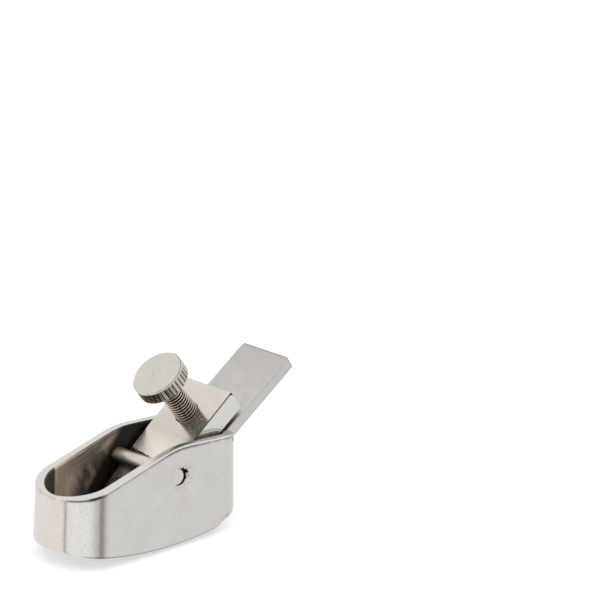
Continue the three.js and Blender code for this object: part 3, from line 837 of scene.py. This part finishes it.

# %% [markdown]
# ## The marks on a metal surface
# No face of the real plane has one even colour. Its marks are of a few kinds: mottling left by
# the polish, round pits, and wear and stains that begin over some height or near some place. The
# same kinds of pattern also place painted shade, painted highlights and painted reflections. Each
# pattern gives 0 to 1 from the Object coordinates in millimetres. A finish lays coats over the
# bare metal where the product of their patterns says so, and then raises or sinks the surface.

# %% Patterns and coats
class Metal:
    """One metal's node tree, the patterns on its surface and the coats made of them."""

    def __init__(self, name):
        self.material = bpy.data.materials.new(name)
        self.tree = cleared(self.material)
        coords = add(self.tree, "TexCoord", output="Object")
        words = {0: coords, "Scale": 1 / MM}
        self.place = add(self.tree, "VectorMath", words, operation="SCALE")

    def mottle(self, size, low=0.0, high=1.0, detail=2.0, turn=0.0):
        """Noise, its waves so many millimetres along X, Y and Z; low to high becomes 0 to 1."""
        size = tuple(np.broadcast_to(np.asarray(size, float), 3).tolist())
        words = {0: self.place, "Rotation": (0, turn, 0), "Scale": size}
        place = add(self.tree, "Mapping", words, vector_type="TEXTURE")
        made = add(self.tree, "TexNoise", {"Vector": place, "Scale": 1, "Detail": detail})
        return add(self.tree, "MapRange", {0: made, 1: low, 2: high})

    def pits(self, spacing, size):
        """Round pits: near each cell's point the value climbs to 1; both in millimetres."""
        words = {"Vector": self.place, "Scale": 1 / spacing}
        far = add(self.tree, "TexVoronoi", words, "Distance")
        return add(self.tree, "MapRange", {0: far, 1: size / spacing, 2: 0.4 * size / spacing})

    def beyond(self, where, way, low, high, ragged=0.0):
        """0 to 1 from low to high millimetres past an upright place, along a way, edge ragged."""
        start = stand(where) / MM
        normal = stand(np.add(where, way)) / MM - start
        words = {0: self.place, 1: tuple(normal)}
        far = add(self.tree, "VectorMath", words, "Value", operation="DOT_PRODUCT")
        if ragged:
            words = {0: self.mottle(0.45, 0, 1, 3), 1: 2 * ragged, 2: far}
            far = add(self.tree, "Math", words, operation="MULTIPLY_ADD")
        level = float(normal @ start) + ragged
        return add(self.tree, "MapRange", {0: far, 1: level + low, 2: level + high})

    def sides(self, half, low, high):
        """Near and far side: 0 to 1 from low to high millimetres out from a half width."""
        return [self.beyond((0, s * half, 0), (0, s, 0), low, high) for s in (-1, 1)]

    def near(self, where, reach, soft=0.85):
        """1 at a place given upright in millimetres, falling to 0 at a distance from it."""
        words = {0: self.place, 1: tuple(stand(where) / MM)}
        far = add(self.tree, "VectorMath", words, "Value", operation="DISTANCE")
        return add(self.tree, "MapRange", {0: far, 1: reach, 2: (1 - soft) * reach})

    def share(self, patterns):
        """The product of patterns and numbers: how far a mark shows at each place."""
        product = 1.0
        for pattern in patterns:
            words = {0: product, 1: pattern}
            product = add(self.tree, "Math", words, operation="MULTIPLY", use_clamp=True)
        return product

    def number(self, name, low=0.0, high=1.0):
        """A number kept at the mesh's points, such as the thread's height, from low to high."""
        kept = add(self.tree, "Attribute", output="Fac", attribute_name=name)
        return add(self.tree, "MapRange", {0: kept, 1: low, 2: high})

    def finish(self, tint, roughness, coats, relief, metallic=1.0):
        """Coats are (tint, roughness, *patterns) and reliefs are (depth in mm, *patterns)."""
        tree, colour, normal = self.tree, linear(tint), None
        for coat_tint, coat_roughness, *patterns in coats:
            share = self.share(patterns)
            words = {0: share, 2: roughness, 3: coat_roughness}
            roughness = add(tree, "Mix", words)
            words = {0: share, 6: colour, 7: linear(coat_tint)}
            colour = add(tree, "Mix", words, 2, data_type="RGBA")
        for depth, *patterns in relief:
            words = {"Height": self.share(patterns), "Distance": depth * MM}
            words |= {"Normal": normal} if normal else {}
            normal = add(tree, "Bump", words)
        words = {"Metallic": metallic, "Base Color": colour, "Roughness": roughness}
        shader = add(tree, "BsdfPrincipled", words | {"Normal": normal})
        add(tree, "OutputMaterial", {"Surface": shader})
        print(self.material.name, "has", len(coats), "coats and", len(relief), "reliefs")
        return self.material


# %% [markdown]
# ## Polished nickel on the casting
# Nickel plate over a hand-polished casting: bright and a little warm. The polish follows the
# casting's slow waves, so reflections wander, and their upright edges turn ragged. Fine
# scratches, small pits and faint stains stay, with brown round the hole where the pin fits. A
# dark reflection is painted along the rim's outer edge, and a dark spot at its heel corner.

# %% Casting finish
# To the eye: a bright mirror in slow waves, warmer and duller in clouds, grainy at the nose,
# with a dull light land along the rim and a painted dark reflection along its outer edge.
metal = Metal("nickel_plate_on_polished_casting")
nose = metal.beyond((-9, 0, 0), (-1, 0, 0), 0, 2.5)
grain = metal.mottle(0.3, 0.45, 0.7, 2)
pits = metal.pits(0.75, 0.12)
scratch = metal.mottle((0.12, 0.12, 5), 0.66, 0.74, 2, 0.12)
hole = (PIN_REACH + 1.3, -BODY_HALF, PIN_HEIGHT - 0.2)
chip = (PIN_REACH + 1.8, -BODY_HALF, PIN_HEIGHT + 0.4)
stain = metal.mottle(0.9, 0.4, 0.62, 4)
land, edge = metal.number("rim_land"), metal.number("rim_edge")
# A dark spot at the rim's heel corner.
heel_corner_spot = metal.near((17.75, -8.1, 17.4), 0.6, 0.5)
shoulder = metal.near((6, -8.2, 17.5), 6.5, 0.6)
thin_edge = metal.number("rim_edge", 0.5, 1.0)
coats = [
    ("#DAD7D4", 0.13, metal.mottle(7, 0.5, 0.75, 3)),
    ("#D8D6D3", 0.18, metal.mottle(2.5, 0.35, 0.75, 4)),
    ("#C8C5C2", 0.2, 0.4, nose, grain),
    ("#BDBAB5", 0.2, 0.4, scratch, metal.mottle(3, 0.5, 0.65)),
    ("#6E665E", 0.3, 0.6, pits, metal.mottle(1.8, 0.5, 0.6)),
    ("#C2A18D", 0.2, 0.8, metal.near(hole, 3.1), stain),
    ("#7B685D", 0.3, 0.75, metal.near(chip, 1.2, 0.6), metal.mottle(0.35, 0.35, 0.6, 3)),
    ("#D6D2CE", 0.3, land),
    # Painted reflection: a dark line along the rim's outer edge, heaviest at the shoulder and the
    # nose.
    ("#6A6057", 0.22, 0.7, thin_edge, shoulder),
    ("#4A413A", 0.3, 0.8, thin_edge, metal.near((-14.4, -5.4, 11.8), 2.3, 0.5)),
    ("#9C9289", 0.2, 0.35, edge, metal.mottle(1.2, 0.3, 0.6)),
    ("#241E1A", 0.3, 0.95, edge, metal.near((-12.4, -7.8, 12.4), 2.0, 0.6)),
    # The dark spot at the rim's heel corner.
    ("#3A332D", 0.3, 0.9, heel_corner_spot),
]
relief = [
    (0.012, metal.mottle(5, 0, 1, 1)),
    (0.007, metal.mottle((1.4, 1.4, 0.4))),
    (0.0006, metal.mottle((2, 2, 0.07), 0, 1, 2, -0.5)),
    (0.003, metal.mottle(0.32), nose),
    (-0.015, pits, nose),
]
nickel_outside = metal.finish("#DBDBDA", 0.13, coats, relief)

# %% [markdown]
# ## The hollow's nickel
# The hollow is plated but hardly polished, and a film of dried polish and oil dulls it. The film
# gathers light from the opening, so the front wall glows beige, with upright streaks where
# the pattern left the sand, and with strokes along the rim, where a brush got in. It is browner
# towards the pin. Beside the cap it is painted nearly black, as painted shade.

# %% Hollow finish
# To the eye: satin beige, streaked, browner from the nose back, and painted shade, nearly black,
# past a sloping line.
metal = Metal("nickel_plate_under_dried_polish")
streaks = metal.mottle((0.5, 0.5, 9), 0.4, 0.7, 3)
fine = metal.mottle((0.14, 0.14, 5), 0.35, 0.7, 2)
smudge = metal.mottle((1.5, 1.5, 2.6), 0.4, 0.58, 3)
strokes = metal.mottle((4, 4, 0.28), 0.42, 0.62, 3, LEAN - RIM_SLOPE)
near_rim = metal.beyond((-4.6, 0, 12.4), tilted(RIM_SLOPE)[2], -1, 1)
behind_nose = metal.beyond((-7, 0, 0), (1, 0, 0), -2, 2)
far_wall = metal.beyond((0, 0, 0), (0, 1, 0), -4, 0)
brown = metal.beyond((-4.6, 0, 11), (0.95, 0, -0.3), -1.2, 1.2, 0.3)
# Painted shade: past this sloping line the hollow beside the cap is painted nearly black.
shade_by_cap = metal.beyond((0.1, 0, 11.6), (0.81, 0, -0.59), -0.7, 0.5, 0.3)
tip = metal.beyond((-9.5, 0, 11), (-1, 0, 0), -0.15, 0.2)
coats = [
    ("#A3917D", 0.3, 0.7, streaks),
    ("#B9AC9C", 0.3, 0.5, fine),
    ("#7F6E62", 0.34, 0.85, brown),
    ("#4C403D", 0.34, 0.85, brown, smudge),
    ("#75685D", 0.3, 0.8, near_rim, behind_nose),
    ("#B8AB9D", 0.3, 0.6, strokes, near_rim, behind_nose),
    ("#463C36", 0.34, 0.95, tip),
    ("#77695C", 0.4, metal.beyond((0, 0, 7.5), (0, 0, -1), 0, 3)),
    # Painted shade, nearly black, beside the cap.
    ("#0F0C0A", 0.5, 0.97, shade_by_cap, far_wall),
]
relief = [(0.03, metal.mottle(3)), (0.004, fine), (0.004, metal.mottle(0.5, 0, 1, 4))]
nickel_inside = metal.finish("#DCCAB2", 0.3, coats, relief, 0.35)

# %% [markdown]
# ## The worn hole
# The near hole's mouth is chipped, and the gap beside the pin is painted nearly black, as
# painted shade. It is guessed from the ragged dark crescent that the pin's end leaves there.

# %% Hole finish
# To the eye: painted shade, nearly black, a little browner and duller in places.
metal = Metal("painted_shade_in_pin_hole")
# Painted shade in the gap between the pin and the worn hole.
coats = [("#5A4238", 0.6, metal.mottle(0.4, 0.4, 0.62))]
hole_shade = metal.finish("#1F1815", 0.5, coats, [(0.02, metal.mottle(0.25, 0, 1, 3))], 0.5)

# %% [markdown]
# ## Drawn and filed rod
# The cross pin is drawn rod, plated thinly. Its underside is painted darker and browner, as
# painted shade, and grease has browned the place where it enters the far wall. Its two ends
# were filed and polished with the walls.

# %% Pin finish
# To the eye: dull warm nickel with marks round the rod, painted brown shade below, brown at the
# far wall, and two bright ends.
metal = Metal("nickel_plate_on_drawn_rod")
shaded_underside = metal.beyond(point_at(pin_centre), (-0.3, 0, -1), 0.1, 0.8, 0.1)
far_end = metal.beyond((0, WELL_HALF, 0), (0, 1, 0), -0.5, -0.2, 0.1)
coats = [
    ("#CFC5BA", 0.3, metal.mottle(2.5, 0.4, 0.7, 2)),
    # Painted shade on the rod's underside.
    ("#5E5148", 0.3, 0.85, shaded_underside),
    ("#6A3C2E", 0.35, 0.9, far_end),
    *[("#DAD7D4", 0.15, end) for end in metal.sides(BODY_HALF - 0.3, 0, 0.1)],
]
relief = [(0.0005, metal.mottle((0.3, 4, 0.3))), (0.006, metal.mottle(3, 0, 1, 1))]
nickel_rod = metal.finish("#DDD6CE", 0.3, coats, relief, 0.9)

# %% [markdown]
# ## Ground tool steel
# The blade is ground flat with a fine wheel and left satin. The lines run along it, a few
# hundredths of a millimetre apart, and are drawn coarser here, or the render wouldn't show
# them. Handling has darkened it towards the tail.

# %% Blade finish
# To the eye: satin grey with lines along the bed, clouds and small specks, darker to the
# tail with a thin dark line at its end, and brighter on its two narrow sides.
metal = Metal("tool_steel_ground_satin")
lines = metal.mottle((4, 0.2, 0.2), 0.35, 0.7, 4, LEAN - BED)
specks = metal.pits(1.1, 0.12)
tail_end, tail_way = point_at(bed(BLADE_TAIL)), tilted(BED)[0]
tail = metal.beyond(tail_end, tail_way, -12, -1)
coats = [
    ("#C3C0BE", 0.38, metal.mottle(2, 0.35, 0.7, 4)),
    ("#BAB7B5", 0.38, 0.7, tail),
    ("#ABA8A5", 0.42, 0.25, lines),
    ("#8A8683", 0.4, 0.5, specks, metal.mottle(2.5, 0.5, 0.6)),
    ("#8F8C89", 0.4, 0.7, metal.beyond(tail_end, tail_way, -0.4, -0.2, 0.1)),
    *[("#DCDBDA", 0.28, 0.8, side) for side in metal.sides(BLADE_HALF, -0.1, -0.04)],
]
relief = [(0.004, lines), (0.002, metal.mottle(0.25, 0, 1, 3))]
steel = metal.finish("#CACAC7", 0.34, coats, relief)

# %% [markdown]
# ## Polished nickel on the cap
# The lever cap is plated over a milled and polished bar. It is flat enough to mirror the thumb
# screw, and warmer than the casting, while its sides stay neutral. A dark reflection is painted
# along its near top edge and at its near tail corner. Fine polishing lines run across it. Beside
# the pin it is hazier and painted lighter, as painted light. Under the pin it is rougher and
# painted dark, as shade and dark reflection, with a painted lit patch on the nose and a painted
# highlight along its far edge.

# %% Cap finish
# To the eye: a warm top with fine lines, hazy and painted lighter beside the pin, neutral sides,
# a painted dark reflection along the near top edge, and a nose in painted shade with a painted
# lit patch, a painted edge highlight and specks.
metal = Metal("nickel_plate_on_milled_cap")
top_way, _, up = tilted(TOP_ANGLE)
lower_top = metal.beyond(point_at(cap_break), -top_way, -8, -4)
# Beside the pin the top is hazier and painted lighter: haze and painted light.
haze_and_painted_light = metal.beyond(point_at(cap_break), -top_way, -3.5, 2)
# Under the pin the nose is rougher and painted dark: painted shade and dark reflection.
SHADED_NOSE_FROM, SHADED_NOSE_SKEW = 2.65, 0.134
shaded_nose_start = along(pin_centre, NOSE_ANGLE, SHADED_NOSE_FROM, SEAT_DEPTH - seat_radius)
shaded_nose_way = -tilted(NOSE_ANGLE)[0] + [0, SHADED_NOSE_SKEW, 0]
shaded_nose = metal.beyond(point_at(shaded_nose_start, CAP_HALF), shaded_nose_way, -0.06, 0.12, 0.3)
faces = metal.sides(CAP_HALF, -0.1, -0.17)
near_side = metal.sides(CAP_HALF, -0.17, -0.1)[0]
speck = metal.mottle(0.3, 0.52, 0.68, 3)
# The near top edge, where a dark reflection is painted.
top_edge = metal.beyond(point_at(cap_tail), up, -0.22, -0.14)
corner = metal.near(point_at(cap_tail, -CAP_HALF), 0.6, 0.3)
pits = metal.pits(1.1, 0.14)
coats = [
    ("#D6D0CB", 0.14, *faces),
    ("#CDC6BF", 0.18, 0.5, metal.mottle(3, 0.4, 0.7, 3), *faces),
    ("#CFC7BF", 0.18, lower_top, *faces),
    # Painted light and haze beside the pin.
    ("#FBF0E5", 0.5, 0.95, haze_and_painted_light, *faces),
    ("#6E645B", 0.3, 0.6, pits, metal.mottle(2.5, 0.5, 0.6)),
    # Painted reflection: dark along the near top edge, darkest at the near tail corner.
    ("#2E2620", 0.3, 0.9, near_side, top_edge),
    ("#15110E", 0.3, 0.95, corner, near_side),
    # Painted shade on the nose under the pin, which is also rougher.
    ("#6A625B", 0.4, shaded_nose),
    # Painted shade: darker next to the pin.
    ("#2A2522", 0.4, 0.9, metal.beyond((4.9, 0, 12.5), (0.7, 0, 0.72), -0.5, 0.5), shaded_nose),
    # Painted light: a lit patch on the nose.
    ("#C4BEB7", 0.35, 0.85, metal.near((3.9, 3.7, 11.5), 2.2, 0.8), shaded_nose),
    ("#CBC6C0", 0.35, 0.8, speck, shaded_nose),
    # Painted highlight along the nose's far edge.
    ("#B5B0AA", 0.3, 0.7, metal.beyond((0, CAP_HALF, 0), (0, 1, 0), -0.22, -0.12), shaded_nose),
]
relief = [
    (0.006, metal.mottle(3.3, 0, 1, 1)),
    (0.0015, metal.mottle((0.06, 2.5, 0.06), 0, 1, 1, LEAN - TOP_ANGLE), faces[0]),
    (0.02, speck, shaded_nose),
    (-0.02, pits),
]
nickel_cap = metal.finish("#DFDFDC", 0.1, coats, relief, 0.9)

# %% [markdown]
# ## Turned nickel on the thumb screw
# Lathe work, plated. Plate is thin in the thread's roots, which are painted dark brown, as dirt
# and shade together, and so are the undersides of its ridges and the knurl's grooves. The thread
# turns darker towards the cap, and the knurl on one side. The head's top is faced and polished,
# with a few specks, the rivet's spot in its middle and a painted dark reflection near its right
# edge. Its teeth are bright on their crests.

# %% Screw finishes
LINE_OUTSIDE, LINE_INSIDE = 4.66, 4.53


def screw_nickel(name, root, crest, levels, polish, darkening):
    """The root's tint and the crest's over it, by the height kept at the mesh's points.

    The last argument, (place, way, low, high) in the screw's own frame, says where the colour
    turns darker. The dark line at the top's edge is a painted reflection: a dark disc with a
    slightly smaller clean disc laid over it.
    """
    metal = Metal(name)
    high = metal.number("crest", *levels)
    pits = metal.pits(0.9, 0.12)
    rivet = screw_place([0, 0, HEAD_HEIGHT])
    start, way, *reach = darkening
    darkening = metal.beyond(screw_place(start), way @ tilted(TOP_ANGLE), *reach, 0.2)
    under_top = metal.beyond(rivet, -tilted(TOP_ANGLE)[2], 0.2, 0.35)
    on_top = metal.beyond(rivet, tilted(TOP_ANGLE)[2], -0.3, -0.2)
    right = metal.beyond(rivet, (0.74, -0.67, 0), -1, 2)
    coats = [
        (crest, polish, high),
        # Painted reflection: a dark line near the top's right edge.
        ("#5E554D", 0.25, 0.7, metal.near(rivet, LINE_OUTSIDE, 0.01), on_top, right),
        (crest, polish, metal.near(rivet, LINE_INSIDE, 0.01), on_top),
        ("#BDB7AF", 0.2, 0.25, high, metal.mottle(2.2, 0.4, 0.7, 2)),
        ("#8C847B", 0.3, 0.6, pits, metal.mottle(2, 0.45, 0.6)),
        ("#5F5046", 0.22, 0.75, darkening, under_top),
        ("#CFCCC7", 0.2, metal.near(rivet, 1.2, 0.3)),
        ("#B5AFA8", 0.28, 0.35, metal.near(rivet, 0.9, 0.4), metal.mottle(0.4, 0.4, 0.6, 3)),
    ]
    relief = [(0.0005, metal.mottle(0.5, 0, 1, 2)), (-0.012, pits)]
    return metal.finish(root, 0.25, coats, relief)


thread_name, head_name = "nickel_plate_on_turned_thread", "nickel_plate_on_turned_head"
# Where the screw turns darker: the thread towards the cap, and one side of the knurl.
foot_darkening = ([0, 0, 3.5], [0, 0, -1], -2.0, 4.0)
side_darkening = ([0, 0, HEAD_FOOT], [-0.5, 0.85, 0], -1.5, 0.5)
# Root tints: dirt and painted shade in the roots and grooves; crest tints: the bare nickel.
thread_finish = screw_nickel(thread_name, "#33281F", "#EAE0D3", (0.4, 0.9), 0.1, foot_darkening)
head_finish = screw_nickel(head_name, "#4E463E", "#CFCCC7", (0.0, 0.4), 0.14, side_darkening)

# %% [markdown]
# ## Which face gets which finish
# Each piece has one finish, except the casting. Its faces inside the hollow's outline get the
# filmed one, and the faces in the hole round the near end of the pin get the painted shade. Its
# points near the rim get two numbers by their depth below it: the land is 1 at the top, and the
# edge, where the dark reflection is painted, is 1 a little below. By these the finish finds them.

# %% Dress the pieces
def dress(piece, *materials):
    """Gives the piece its materials, the first of them on every face."""
    piece.data.materials.clear()
    for material in materials:
        piece.data.materials.append(material)


dress(body, nickel_outside, nickel_inside, hole_shade)
finishes = [nickel_rod, steel, nickel_cap, thread_finish, head_finish]
for piece, material in zip((pin, blade, cap, shank, head), finishes):
    dress(piece, material)
print("finishes:", sorted(material.name for material in bpy.data.materials))

# %% Faces in the hollow
HOLLOW_DEPTH, HOLLOW_SPREAD, HOLLOW_FLOOR, HOLLOW_END = 0.07, 0.3, 0.3, WELL_END + 0.1
faces = body.data.polygons
x, y, z = upright(triples(faces, "center")).T
line = plan(WELL, HOLLOW_SPREAD)[NOSE_STEPS // 2 : NOSE_STEPS + SIDE_STEPS]
hollow = (np.abs(y) < np.interp(x, *line.T)) & (x > line[0, 0]) & (x < HOLLOW_END)
hollow &= (z < rim_height(x) - HOLLOW_DEPTH) & (z > barrel_height(x, y) + HOLLOW_FLOOR)
print(hollow.sum(), "faces of the casting lie in the hollow")

# %% Faces in the worn hole
HOLE_SHADE_REACH, HOLE_SHADE_SHIFT, HOLE_SHADE_DEPTH, ALONG_WALL = 2.4, 0.3, 0.15, 0.7
# Faces in the gap round the pin's near end, which get the painted shade.
hole = np.hypot(x - PIN_REACH - HOLE_SHADE_SHIFT, z - PIN_HEIGHT) < HOLE_SHADE_REACH
hole &= (y < -WELL_HALF - HOLE_SHADE_DEPTH) & (np.abs(triples(faces, "normal")[:, 1]) < ALONG_WALL)
faces.foreach_set("material_index", np.where(hole, 2, hollow).astype(np.int32))
print(hole.sum(), "faces lie in the worn hole and look along the wall")

# %% Depth below the rim
LAND_FADE, EDGE_RISE, EDGE_FADE = (0.02, 0.12), (0.1, 0.2), (0.35, 0.8)
places = upright(triples(body.data.vertices, "co"))
depth = rim_height(places[:, 0]) - places[:, 2]
land = 1 - smooth(depth, *LAND_FADE)
edge = smooth(depth, *EDGE_RISE) * (1 - smooth(depth, *EDGE_FADE))
keep_numbers(body.data, {"rim_land": land, "rim_edge": edge})
print("the rim's land has", int((land > 0.5).sum()), "points")

# %% [markdown]
# ## Light by direction
# Polished metal has no look of its own: it shows what stands round it. The studio is a white
# table and white walls, with a darker strip where the camera stands, and a dark line where the
# table ends on the near side. A dark line is also where one cloth hangs over the next, beside
# the nose. The camera itself sees plain white.

# %% Surroundings
BRIGHTNESS = 1.08
WALLS = [
    (-180, "#FFFFFF"), (-140, "#FDFDFB"), (-128, "#F1F1EE"), (-117, "#DDDCD9"),
    (-107, "#D0CFCB"), (-99, "#A29F9A"), (-92, "#9C9B97"), (-84, "#BBB7B2"),
    (-72, "#DCDAD7"), (-58, "#E8E7E5"), (0, "#EAE9E8"), (30, "#EEEEED"),
    (60, "#EDECEB"), (110, "#FAF9F7"), (130, "#FFF8F2"), (158.6, "#FFF8F3"),
    (160.2, "#7A6C62"), (162.6, "#85786E"), (163.6, "#FFFFFF"), (180, "#FFFFFF"),
]
TABLE_EDGE = [
    (0.0, 0.4), (0.12, 0.4), (0.3, 1.0), (0.46, 1.0), (0.49, 0.02), (0.57, 0.02), (0.62, 1.0),
]
NEAR_SIDE = [(0.02, 0.0), (0.06, 1.0), (0.42, 1.0), (0.5, 0.0)]
OVERHEAD_FROM, OVERHEAD_FULL = 0.3, 0.55
WHITE = (1, 1, 1, 1)

# Colours round the horizon, one level overhead, and a dark table edge on the near side only.
world = bpy.data.worlds.new("white_studio")
bpy.context.scene.world = world
tree = cleared(world)
parts = add(tree, "SeparateXYZ", {0: add(tree, "TexCoord", output="Generated")}).node.outputs
angle = add(tree, "Math", {0: parts["Y"], 1: parts["X"]}, operation="ARCTAN2")
share = add(tree, "MapRange", {0: angle, 1: -np.pi, 2: np.pi})
stops = [((azimuth + 180) / 360, linear(colour)) for azimuth, colour in WALLS]
walls = add(tree, "ValToRGB", {0: share}, stops=stops)
words = {0: parts["Z"], 1: OVERHEAD_FROM, 2: OVERHEAD_FULL}
overhead = add(tree, "MapRange", words, interpolation_type="SMOOTHSTEP")
words = {0: overhead, 6: walls, 7: linear("#FBFAF8")}
sky = add(tree, "Mix", words, 2, data_type="RGBA")
height = add(tree, "MapRange", {0: parts["Z"], 1: -1, 2: 1})
bands = []
for value, marks in [(height, TABLE_EDGE), (share, NEAR_SIDE)]:
    greys = [(place, (level, level, level, 1)) for place, level in marks]
    bands.append(add(tree, "ValToRGB", {0: value}, stops=greys))
words = {0: bands[1], 6: WHITE, 7: bands[0]}
table = add(tree, "Mix", words, 2, data_type="RGBA")
words = {0: 1.0, 6: sky, 7: table}
lit = add(tree, "Mix", words, 2, data_type="RGBA", blend_type="MULTIPLY")
seen = add(tree, "LightPath", output="Is Camera Ray")
shown = add(tree, "Mix", {0: seen, 6: lit, 7: WHITE}, 2, data_type="RGBA")
strength = add(tree, "MapRange", {0: seen, 3: BRIGHTNESS, 4: 1.0})
light = add(tree, "Background", {"Color": shown, "Strength": strength})
add(tree, "OutputWorld", {"Surface": light})
print("the horizon has", len(WALLS), "colours")

# %% [markdown]
# ## Floor
# A matt white table, far larger than the view. It glows a little to the camera, so that it
# stays white while it keeps the plane's soft shadow, and reflections look past it to the
# surroundings.

# %% Floor
FLOOR_HALF, FLOOR_DROP, FLOOR_GLOW = 4.0, 1e-5, 0.46
floor_mesh = bpy.data.meshes.new("floor")
floor_corners = np.array([(-1, -1), (1, -1), (1, 1), (-1, 1)]) * FLOOR_HALF
floor_points = np.column_stack([floor_corners, np.full(4, -FLOOR_DROP)])
floor_mesh.from_pydata(floor_points.tolist(), [], [(0, 1, 2, 3)])
floor = in_scene("floor", floor_mesh)
floor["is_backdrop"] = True

# To the eye: matt white, clear to mirrors and from below.
material = bpy.data.materials.new("matt_white_table")
tree = cleared(material)
matt = add(tree, "BsdfDiffuse", {"Color": linear("#CFCFCE")})
glow = add(tree, "Emission", {"Color": WHITE, "Strength": FLOOR_GLOW})
path = add(tree, "LightPath").node.outputs
brighter = add(tree, "AddShader", {0: matt, 1: glow})
shown = add(tree, "MixShader", {0: path["Is Camera Ray"], 1: matt, 2: brighter})
below = add(tree, "NewGeometry", output="Backfacing")
hidden = add(tree, "Math", {0: path["Is Glossy Ray"], 1: below}, operation="MAXIMUM")
final = add(tree, "MixShader", {0: hidden, 1: shown, 2: add(tree, "BsdfTransparent")})
add(tree, "OutputMaterial", {"Surface": final})
dress(floor, material)
print("the floor is", 2 * FLOOR_HALF, "metres wide")

# %% [markdown]
# ## Lamp
# One large soft box over the camera's shoulder. It gives the floor its light and the shadow
# its soft edge; it is hidden from glossy rays, so no metal mirrors it.

# %% Lamp
def softbox(name, azimuth, elevation, distance, size, brightness):
    """A square area lamp that faces the plane: power = brightness times pi times its area."""
    lamp = bpy.data.lights.new(name, "AREA")
    lamp.shape, lamp.size = "SQUARE", size
    lamp.energy = brightness * np.pi * size**2
    holder = in_scene(name, lamp)
    a, e = np.radians(azimuth), np.radians(elevation)
    way = Vector((np.cos(a) * np.cos(e), np.sin(a) * np.cos(e), np.sin(e)))
    turned_to = way.to_track_quat("Z", "Y").to_matrix().to_4x4()
    holder.matrix_world = Matrix.Translation(way * distance) @ turned_to
    holder.visible_glossy = False
    print(name, "gives", round(lamp.energy, 2), "watts")


softbox(
    "softbox_over_camera", azimuth=-112, elevation=50, distance=1.1, size=1.1, brightness=1.0
)

# %% [markdown]
# ## Camera
# The camera stands to the left of the nose, a little above the bench, with a long lens.

# %% Camera
FOCAL_LENGTH, SENSOR_WIDTH, NEAREST, FARTHEST = 240.06, 36, 0.01, 20
CAMERA_PLACE = Vector((-417.444, -508.907, 251.321)) * MM
RIGHT = Vector((0.74112, -0.671192, -0.015597)).normalized()
UP = Vector((0.215484, 0.215804, 0.952363)).normalized()
BACK = RIGHT.cross(UP).normalized()
camera_data = bpy.data.cameras.new("camera")
camera_data.lens, camera_data.sensor_width = FOCAL_LENGTH, SENSOR_WIDTH
camera_data.clip_start, camera_data.clip_end = NEAREST, FARTHEST
camera = in_scene("camera", camera_data)
view_turn = Matrix((RIGHT, BACK.cross(RIGHT), BACK)).transposed().to_4x4()
camera.matrix_world = Matrix.Translation(CAMERA_PLACE) @ view_turn
bpy.context.scene.camera = camera
bpy.context.scene.view_settings.view_transform = "Standard"
print("the camera stands", round(CAMERA_PLACE.length, 3), "metres away")

# %% [markdown]
# ## Sizes
# The box of the dressed plane is kept beside the box of the plain solids, to see that no
# surface stands out of the solid it replaces.

# %% Sizes and finish
corners = {"cad": cad_box, "visual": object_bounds()}
for title, box in corners.items():
    print(title, [[round(v / MM, 3) for v in corner] for corner in box])
